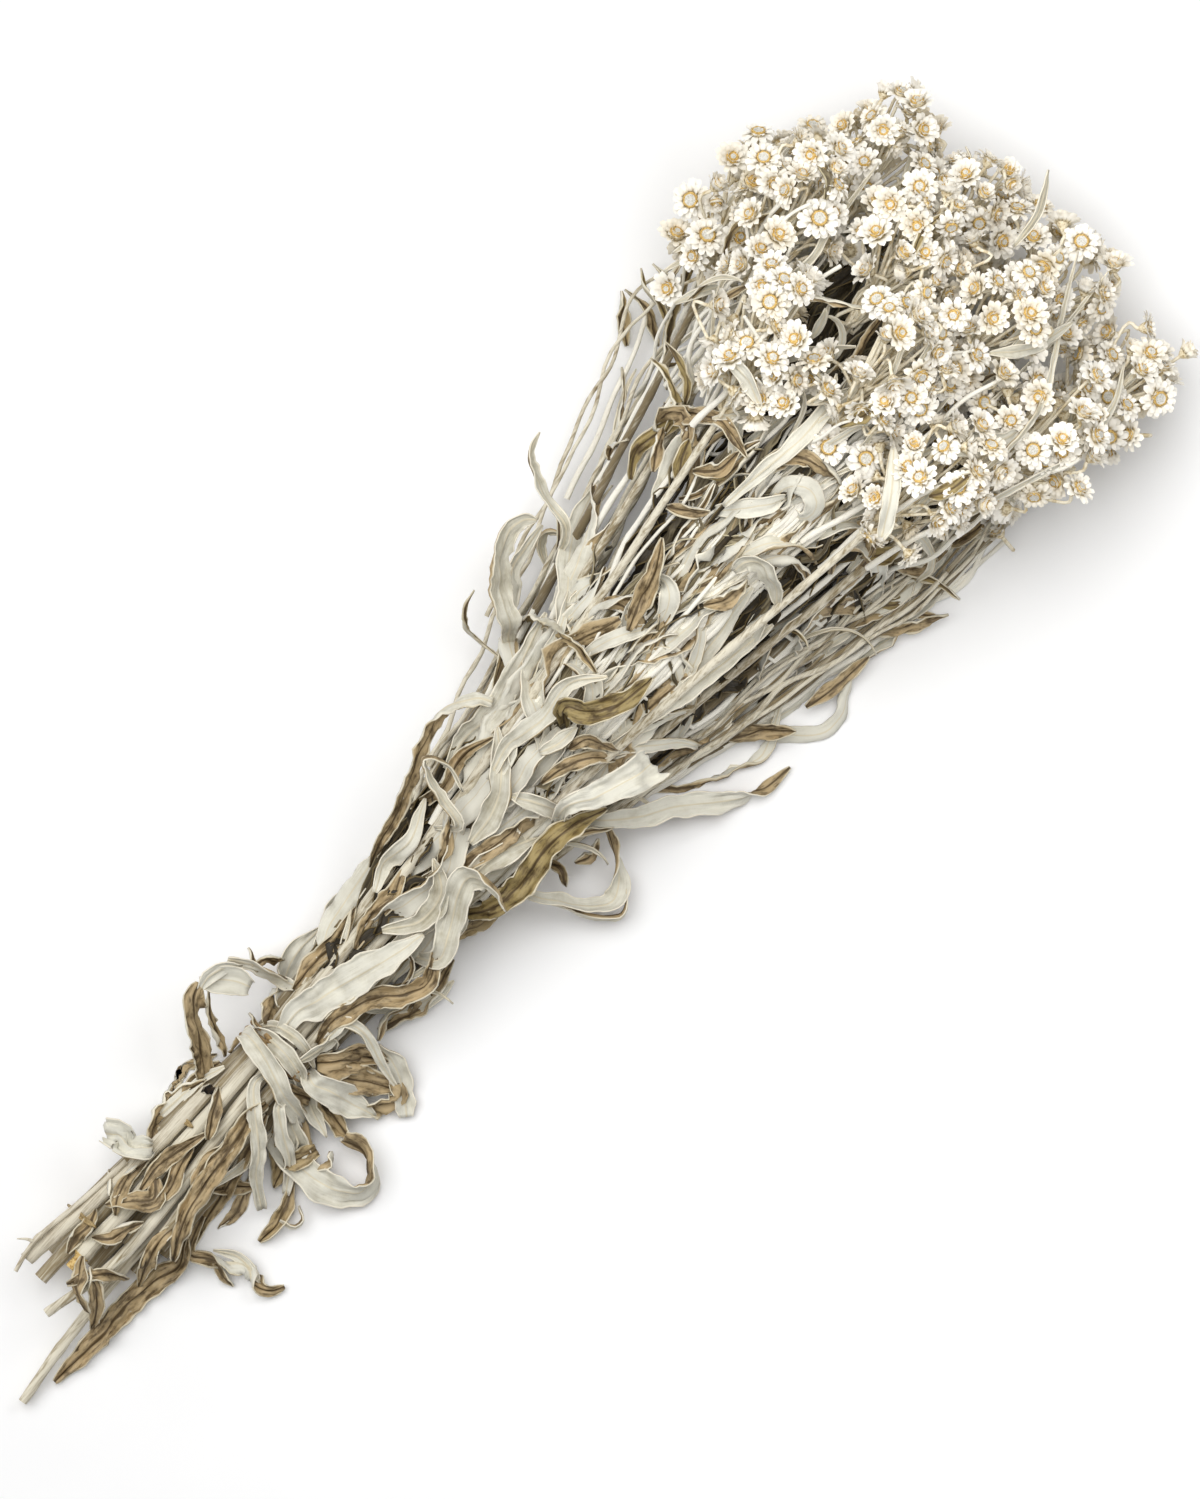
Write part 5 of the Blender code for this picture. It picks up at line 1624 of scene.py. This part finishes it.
# Each pattern of head: the disc, and the rings of bracts as (radius, height, lift in degrees,
# share of a bract's full length, share of the full count).
HEAD_PATTERNS = [
    ((OPEN_TOP, 3), [(2.0, -0.9, -4, 1.05, 1.0), (1.95, -0.4, 18, 0.88, 1.0), (1.9, 0.1, 42, 0.6, 0.8)]),
    ((OPEN_TOP, 3), [(2.0, -0.9, -14, 1.05, 1.1), (1.95, -0.4, 8, 0.9, 0.9), (1.9, 0.1, 34, 0.62, 0.8)]),
    ((FULL_TOP, 2), [(2.0, -1.1, 6, 1.1, 1.0), (1.9, -0.5, 30, 0.94, 0.9), (1.6, 0.0, 60, 0.68, 0.7)]),
    ((FULL_TOP, 3), [(2.0, -1.3, 24, 1.1, 1.0), (1.7, -0.7, 48, 0.94, 0.8), (1.4, -0.1, 70, 0.8, 0.6)]),
    ((OPEN_TOP, 3), [(2.0, -0.9, -38, 1.05, 1.0), (1.95, -0.5, -12, 0.94, 0.9), (1.9, 0.0, 18, 0.7, 0.7)]),
    ((FULL_TOP, 4), [(1.8, -1.8, 52, 0.95, 1.0), (1.5, -1.0, 70, 0.95, 0.9), (0.9, -0.4, 84, 0.85, 0.5)]),
]


def head_tree(rings):
    """Tree that sets rings of bracts round the disc of a flower head."""
    tree, node, given = new_tree("flower_head", Core="Geometry", Bract="Object", Count="Int", Seed="Int",
                                 Unevenness="Float", Surface="Material")
    bract = node("GeometryNodeObjectInfo", {"Object": given["Bract"]}).outputs["Geometry"]
    index = node("GeometryNodeInputIndex")
    join = node("GeometryNodeJoinGeometry")
    tree.links.new(given["Core"], join.inputs["Geometry"])
    for number, (radius, height, lift, share, crowd) in enumerate(rings):
        count = node("ShaderNodeMath", {0: given["Count"], 1: crowd}, operation="MULTIPLY")
        circle = node("GeometryNodeMeshCircle", {"Vertices": count, "Radius": radius * MM})
        lifted = node("GeometryNodeSetPosition", {"Geometry": circle, "Offset": (0, 0, height * MM)})
        seed = node("ShaderNodeMath", {0: given["Seed"], 1: number * 7.0}, operation="ADD")
        jitter = node("FunctionNodeRandomValue", {"Min": (-1, -1, -1), "Max": (1, 1, 1), "Seed": seed},
                      data_type="FLOAT_VECTOR")
        uneven = node("ShaderNodeVectorMath", {0: jitter, "Scale": given["Unevenness"]}, operation="SCALE")
        step = node("ShaderNodeMath", {0: tau, 1: count}, operation="DIVIDE")
        angle = node("ShaderNodeMath", {0: index, 1: step}, operation="MULTIPLY")
        facing = node("ShaderNodeCombineXYZ", {"Y": -radians(lift), "Z": angle})
        turned = node("ShaderNodeVectorMath", {0: facing, 1: uneven}, operation="ADD")
        sizes = node("FunctionNodeRandomValue", {"Min": 0.84 * share, "Max": 1.1 * share, "Seed": seed})
        placed = node("GeometryNodeInstanceOnPoints",
                      {"Points": lifted, "Instance": bract, "Rotation": turned, "Scale": sizes})
        spun = node("GeometryNodeTransform", {"Geometry": placed, "Rotation": (0, 0, 0.33 * number)})
        tree.links.new(spun.outputs["Geometry"], join.inputs["Geometry"])
    whole = node("GeometryNodeRealizeInstances", {"Geometry": join})
    surfaced = node("GeometryNodeSetMaterial", {"Geometry": whole, "Material": given["Surface"]})
    node("NodeGroupOutput", {"Geometry": surfaced})
    return tree


def spray_tree():
    """Tree that puts a flower head on each point, and gives each part of it its own material."""
    tree, node, given = new_tree("heads_on_points", Points="Geometry", Patterns="Collection",
                                 **{part.title(): "Material" for part in PARTS})
    kinds = {"facing": "FLOAT_VECTOR", "spin": "FLOAT", "size": "FLOAT", "pattern": "INT", "part": "INT"}
    named = {label: node("GeometryNodeInputNamedAttribute", {"Name": label}, data_type=kind)
             for label, kind in kinds.items()}
    heads = node("GeometryNodeCollectionInfo",
                 {"Collection": given["Patterns"], "Separate Children": True, "Reset Children": True})
    aimed = node("FunctionNodeAlignRotationToVector", {"Vector": named["facing"]}, axis="Z")
    spin = node("ShaderNodeCombineXYZ", {"Z": named["spin"]})
    turned = node("FunctionNodeRotateRotation", {"Rotation": aimed, "Rotate By": spin},
                  rotation_space="LOCAL")
    placed = node("GeometryNodeInstanceOnPoints",
                  {"Points": given["Points"], "Instance": heads, "Pick Instance": True,
                       "Instance Index": named["pattern"], "Rotation": turned, "Scale": named["size"]})
    shape = node("GeometryNodeRealizeInstances", {"Geometry": placed})
    for label, part in PARTS.items():
        chosen = node("FunctionNodeCompare", {"A": named["part"], "B": part}, data_type="INT",
                      operation="EQUAL")
        surface = given[label.title()]
        shape = node("GeometryNodeSetMaterial", {"Geometry": shape, "Selection": chosen, "Material": surface})
    node("NodeGroupOutput", {"Geometry": shape})
    return tree


class Spray:
    """The egg shape of one spray, as its solid has it, and the heads on it."""

    def __init__(self, middle, direction):
        self.middle = Vector(middle)
        self.direction = direction
        side = UP.cross(direction).normalized()
        self.axes = list(zip((direction, side, direction.cross(side)), SPRAY_HALF))
        self.heads = []

    def share(self, place):
        """Coordinates in the egg, 1 on its surface."""
        return Vector([(place - self.middle).dot(axis) / half for axis, half in self.axes])

    def place(self, share):
        """The place of coordinates in the egg."""
        place = self.middle
        for part, (axis, half) in zip(share, self.axes):
            place = place + axis * part * half
        return place

    def top(self, x, y):
        """The highest point of the egg at (X, Y), and how far outside it that is."""
        levels = [(self.share(Vector((x, y, self.middle.z + step))).length, -step) for step in range(-14, 15)]
        inside = [-below for outside, below in levels if outside <= 1]
        if inside:
            return self.middle.z + max(inside), 1.0
        outside, below = min(levels)
        return self.middle.z - below, outside


SPRAYS = [Spray(middle, line[2]) for middle, line in zip(SPRAY_MIDDLES, LINES.values())]


def flower_top(x, y):
    """Height of the top of the sprays at (X, Y), or of the stems where there is no spray."""
    tops = [height for height, outside in (spray.top(x, y) for spray in SPRAYS) if outside <= 1]
    return max([stack_top(x, y), *tops])


def smooth_tops(points):
    """flower_top at each of the points, without its sudden steps."""
    tops = [flower_top(*point[:2]) for point in points]
    for _ in range(2):
        tops = [(before + 2 * top + after) / 4
                for before, top, after in zip([tops[0], *tops], tops, [*tops[1:], tops[-1]])]
    return tops


MOST_TRIES = 420  # to find places for the heads of one spray


def place_heads(sprays, look):
    """Gives every spray its flower heads, the ones on top first."""
    rng = Random(look.seed)
    taken = []
    for spray in sprays:
        spray.heads = []

    def add(spray, place, facing, pattern, size):
        # heads low in a spray get a higher tone: painted shade
        depth = 0.45 * max(0.0, -spray.share(place).z)
        spray.heads.append((place, facing.normalized(), rng.uniform(0, tau), size, pattern,
                            0.75 * rng.random() + depth))
        taken.append(place)

    for x, y, pattern in TOP_HEADS:
        choices = [(outside > 1.25, -height if outside <= 1.25 else outside, number)
                   for number, spray in enumerate(sprays) for height, outside in [spray.top(x, y)]]
        spray = sprays[min(choices)[2]]
        place = Vector((x, y, spray.top(x, y)[0] + 1.0))
        outward = (place - spray.middle).normalized()
        lean, sway = (0.25, 0.2) if pattern in (0, 1) else (0.7, 0.9)
        facing = 0.8 * UP + lean * outward + sway * Vector((rng.gauss(0.4, 1), rng.gauss(0, 1), 0))
        size = rng.uniform(0.88, 1.04) * (1.0 if pattern in (0, 1) else 0.9)
        add(spray, place, facing, int(pattern), size)
    for spray in sprays:
        tries = 0
        while len(spray.heads) < look.heads and tries < MOST_TRIES:
            tries += 1
            share = Vector((rng.gauss(0.25, 1), rng.gauss(0, 1), rng.gauss(0.1, 1))).normalized()
            if share.x < -0.75:
                continue
            place = spray.place(share * rng.uniform(0.8, 1.18))
            outside = place.z < 5.8 or place.x > 195.5 or not -57 < place.y < 61
            crowded = any((place - p).length < look.spacing / MM for p in taken)
            buried = any(other.share(place).length < 0.8 for other in sprays if other is not spray)
            if outside or crowded or buried or in_hollow([place]):
                continue
            outward = (place - spray.middle).normalized()
            sway = Vector([rng.gauss(0, 1) for _ in range(3)])
            facing = outward + 0.4 * spray.direction + 0.4 * UP + 0.75 * sway
            add(spray, place, facing, rng.choice((0, 2, 2, 3, 3, 3, 4, 5)), rng.uniform(0.74, 0.94))


def stalk_lines(spray, rng):
    """Curved stalks from the tip of the stem to the foot of each head."""
    hub = spray.middle - spray.direction * (SPRAY_HALF[0] + GAP)
    lines = []
    for place, facing, _, size, _, tone in spray.heads:
        foot = place - facing * 3.4 * size
        fork = hub.lerp(spray.middle, rng.uniform(0.1, 0.6)) + Vector([rng.gauss(0, 1.2) for _ in range(3)])
        near = foot - facing * 4.5
        near.z = max(near.z, 1.2)
        route = off_floor(smooth_route([hub, fork, near, foot], 14), 0.8)
        lines.append((route, [0.6 - 0.02 * i for i in range(8)] + [0.44 + 0.02 * i for i in range(6)], tone))
    return lines


class BUNCH_OT_flower_sprays(bpy.types.Operator):
    """Make the sprays of flower heads and the stalks that carry them"""

    bl_idname = "bunch.flower_sprays"
    bl_label = "Flower Sprays"

    def execute(self, context):
        look = context.scene.bunch_flowers
        papery = finish(papery_bract, look)
        bract = new_object("bract", bract_mesh(look.bract_length, look.bract_width))
        patterns = bpy.data.collections.new("head_patterns")
        context.scene.collection.children.link(patterns)
        for number, ((top, florets_to), rings) in enumerate(HEAD_PATTERNS):
            core = new_object(f"pattern_{number}", core_mesh(top, florets_to, f"core_{number}"))
            context.scene.collection.objects.unlink(core)
            patterns.objects.link(core)
            run_tree(core, head_tree(rings), Bract=bract, Count=look.bracts, Seed=number, Unevenness=0.22,
                     Surface=papery)
        place_heads(SPRAYS, look)
        tree = spray_tree()
        rng = Random(look.seed + 1)
        for number, spray in enumerate(SPRAYS, 1):
            name = f"spray_{number:02d}"
            places, facings, spins, sizes, chosen, tones = zip(*spray.heads)
            mesh = new_mesh(name, [p * MM for p in places])
            keep(mesh, "facing", [c for facing in facings for c in facing], "FLOAT_VECTOR")
            keep(mesh, "pattern", chosen, "INT")
            for label, values in (("spin", spins), ("size", sizes), ("tone", tones)):
                keep(mesh, label, values)
            piece = run_tree(new_object(name, mesh), tree, Patterns=patterns, Bract=papery,
                             Base=finish(woolly_base, look), Florets=finish(golden_florets, look),
                             Centre=finish(downy_centre, look))
            hand_over(piece, "flower", name)
            stalks = tubes(f"stalks_{number:02d}", stalk_lines(spray, rng), 5, finish(flower_stalk, look))
            hand_over(stalks, "stem")
        for core in list(patterns.objects) + [bract]:
            bpy.data.objects.remove(core)
        bpy.data.collections.remove(patterns)
        return {"FINISHED"}


CAMERA_AIM = (18.0, -9.5, 37.0)  # point below the camera, in the plane of the framing
CAMERA_HEIGHT = 6.0  # above that plane, in metres
VIEW_HEIGHT = 0.37475  # height of the framing, in metres
CAMERA_TURN = radians(-49)
FLOOR_HALF = 15.0  # in metres
KEY_HEADING = radians(86)  # the key light comes from the +Y side
TOP_PLACE = (178, -60, 330)  # of the soft lamp above the flowers
TOP_SIZE = 0.24  # in metres


class BUNCH_OT_stage(bpy.types.Operator):
    """Make the floor, the lights and the camera"""

    bl_idname = "bunch.stage"
    bl_label = "Stage"

    def execute(self, context):
        look = context.scene.bunch_stage
        corners = [(x * FLOOR_HALF, y * FLOOR_HALF, 0) for x, y in ((-1, -1), (1, -1), (1, 1), (-1, 1))]
        mesh = new_mesh("floor", corners, faces=[(0, 1, 2, 3)])
        new_object("floor", mesh, finish(matt_floor, look))
        key = bpy.data.lights.new("key", "SUN")
        key.energy, key.angle = look.key, look.softness
        lamp = new_object("key", key)
        toward = Vector((cos(KEY_HEADING) * cos(look.key_height), sin(KEY_HEADING) * cos(look.key_height),
                         sin(look.key_height)))
        lamp.rotation_euler = toward.to_track_quat("Z", "Y").to_euler()
        top = bpy.data.lights.new("top", "AREA")
        top.shape, top.size, top.energy = "DISK", TOP_SIZE, look.top
        lamp = new_object("top", top)
        lamp.location = Vector(TOP_PLACE) * MM
        lamp.visible_camera = False
        world = bpy.data.worlds.new("studio")
        world.use_nodes = True
        for socket, value in (("Color", (1, 1, 1, 1)), ("Strength", look.fill)):
            world.node_tree.nodes["Background"].inputs[socket].default_value = value
        context.scene.world = world
        context.scene.view_settings.view_transform = "Standard"
        lens = bpy.data.cameras.new("camera")
        lens.sensor_width = 36.0
        lens.lens = lens.sensor_width * CAMERA_HEIGHT / VIEW_HEIGHT
        camera = new_object("camera", lens)
        camera.location = Vector(CAMERA_AIM) * MM + UP * CAMERA_HEIGHT
        camera.rotation_euler = (0, 0, CAMERA_TURN)
        context.scene.camera = camera
        return {"FINISHED"}


OPERATORS = (BUNCH_OT_main_stems, BUNCH_OT_broken_stem, BUNCH_OT_side_stems, BUNCH_OT_tie,
             BUNCH_OT_large_leaves, BUNCH_OT_loose_leaves, BUNCH_OT_small_leaves, BUNCH_OT_flower_sprays,
             BUNCH_OT_stage)
SETTINGS = {"bunch_stems": StemSettings, "bunch_leaves": LeafSettings, "bunch_flowers": FlowerSettings,
            "bunch_stage": StageSettings}


class VIEW3D_PT_bunch(bpy.types.Panel):
    """Buttons that make the bunch, piece by piece"""

    bl_idname = "VIEW3D_PT_bunch"
    bl_label = "Dried Bunch"
    bl_space_type = "VIEW_3D"
    bl_region_type = "UI"
    bl_category = "Dried Bunch"

    def draw(self, context):
        column = self.layout.column()
        for operator in OPERATORS:
            column.operator(operator.bl_idname)
        for name, group in SETTINGS.items():
            box = self.layout.box()
            box.label(text=group.__name__)
            for prop in group.__annotations__:
                box.prop(getattr(context.scene, name), prop)


def register():
    """Registers the settings, the operators and the panel."""
    for cls in (*SETTINGS.values(), *OPERATORS, VIEW3D_PT_bunch):
        bpy.utils.register_class(cls)
    for name, group in SETTINGS.items():
        setattr(bpy.types.Scene, name, PointerProperty(type=group))


def unregister():
    """Takes the panel, the operators and the settings away again."""
    for name in SETTINGS:
        delattr(bpy.types.Scene, name)
    for cls in reversed((*SETTINGS.values(), *OPERATORS, VIEW3D_PT_bunch)):
        bpy.utils.unregister_class(cls)


def main():
    """Makes every piece and the stage."""
    register()
    for operator in OPERATORS:
        group, name = operator.bl_idname.split(".")
        getattr(getattr(bpy.ops, group), name)()


if __name__ == "__main__":
    main()
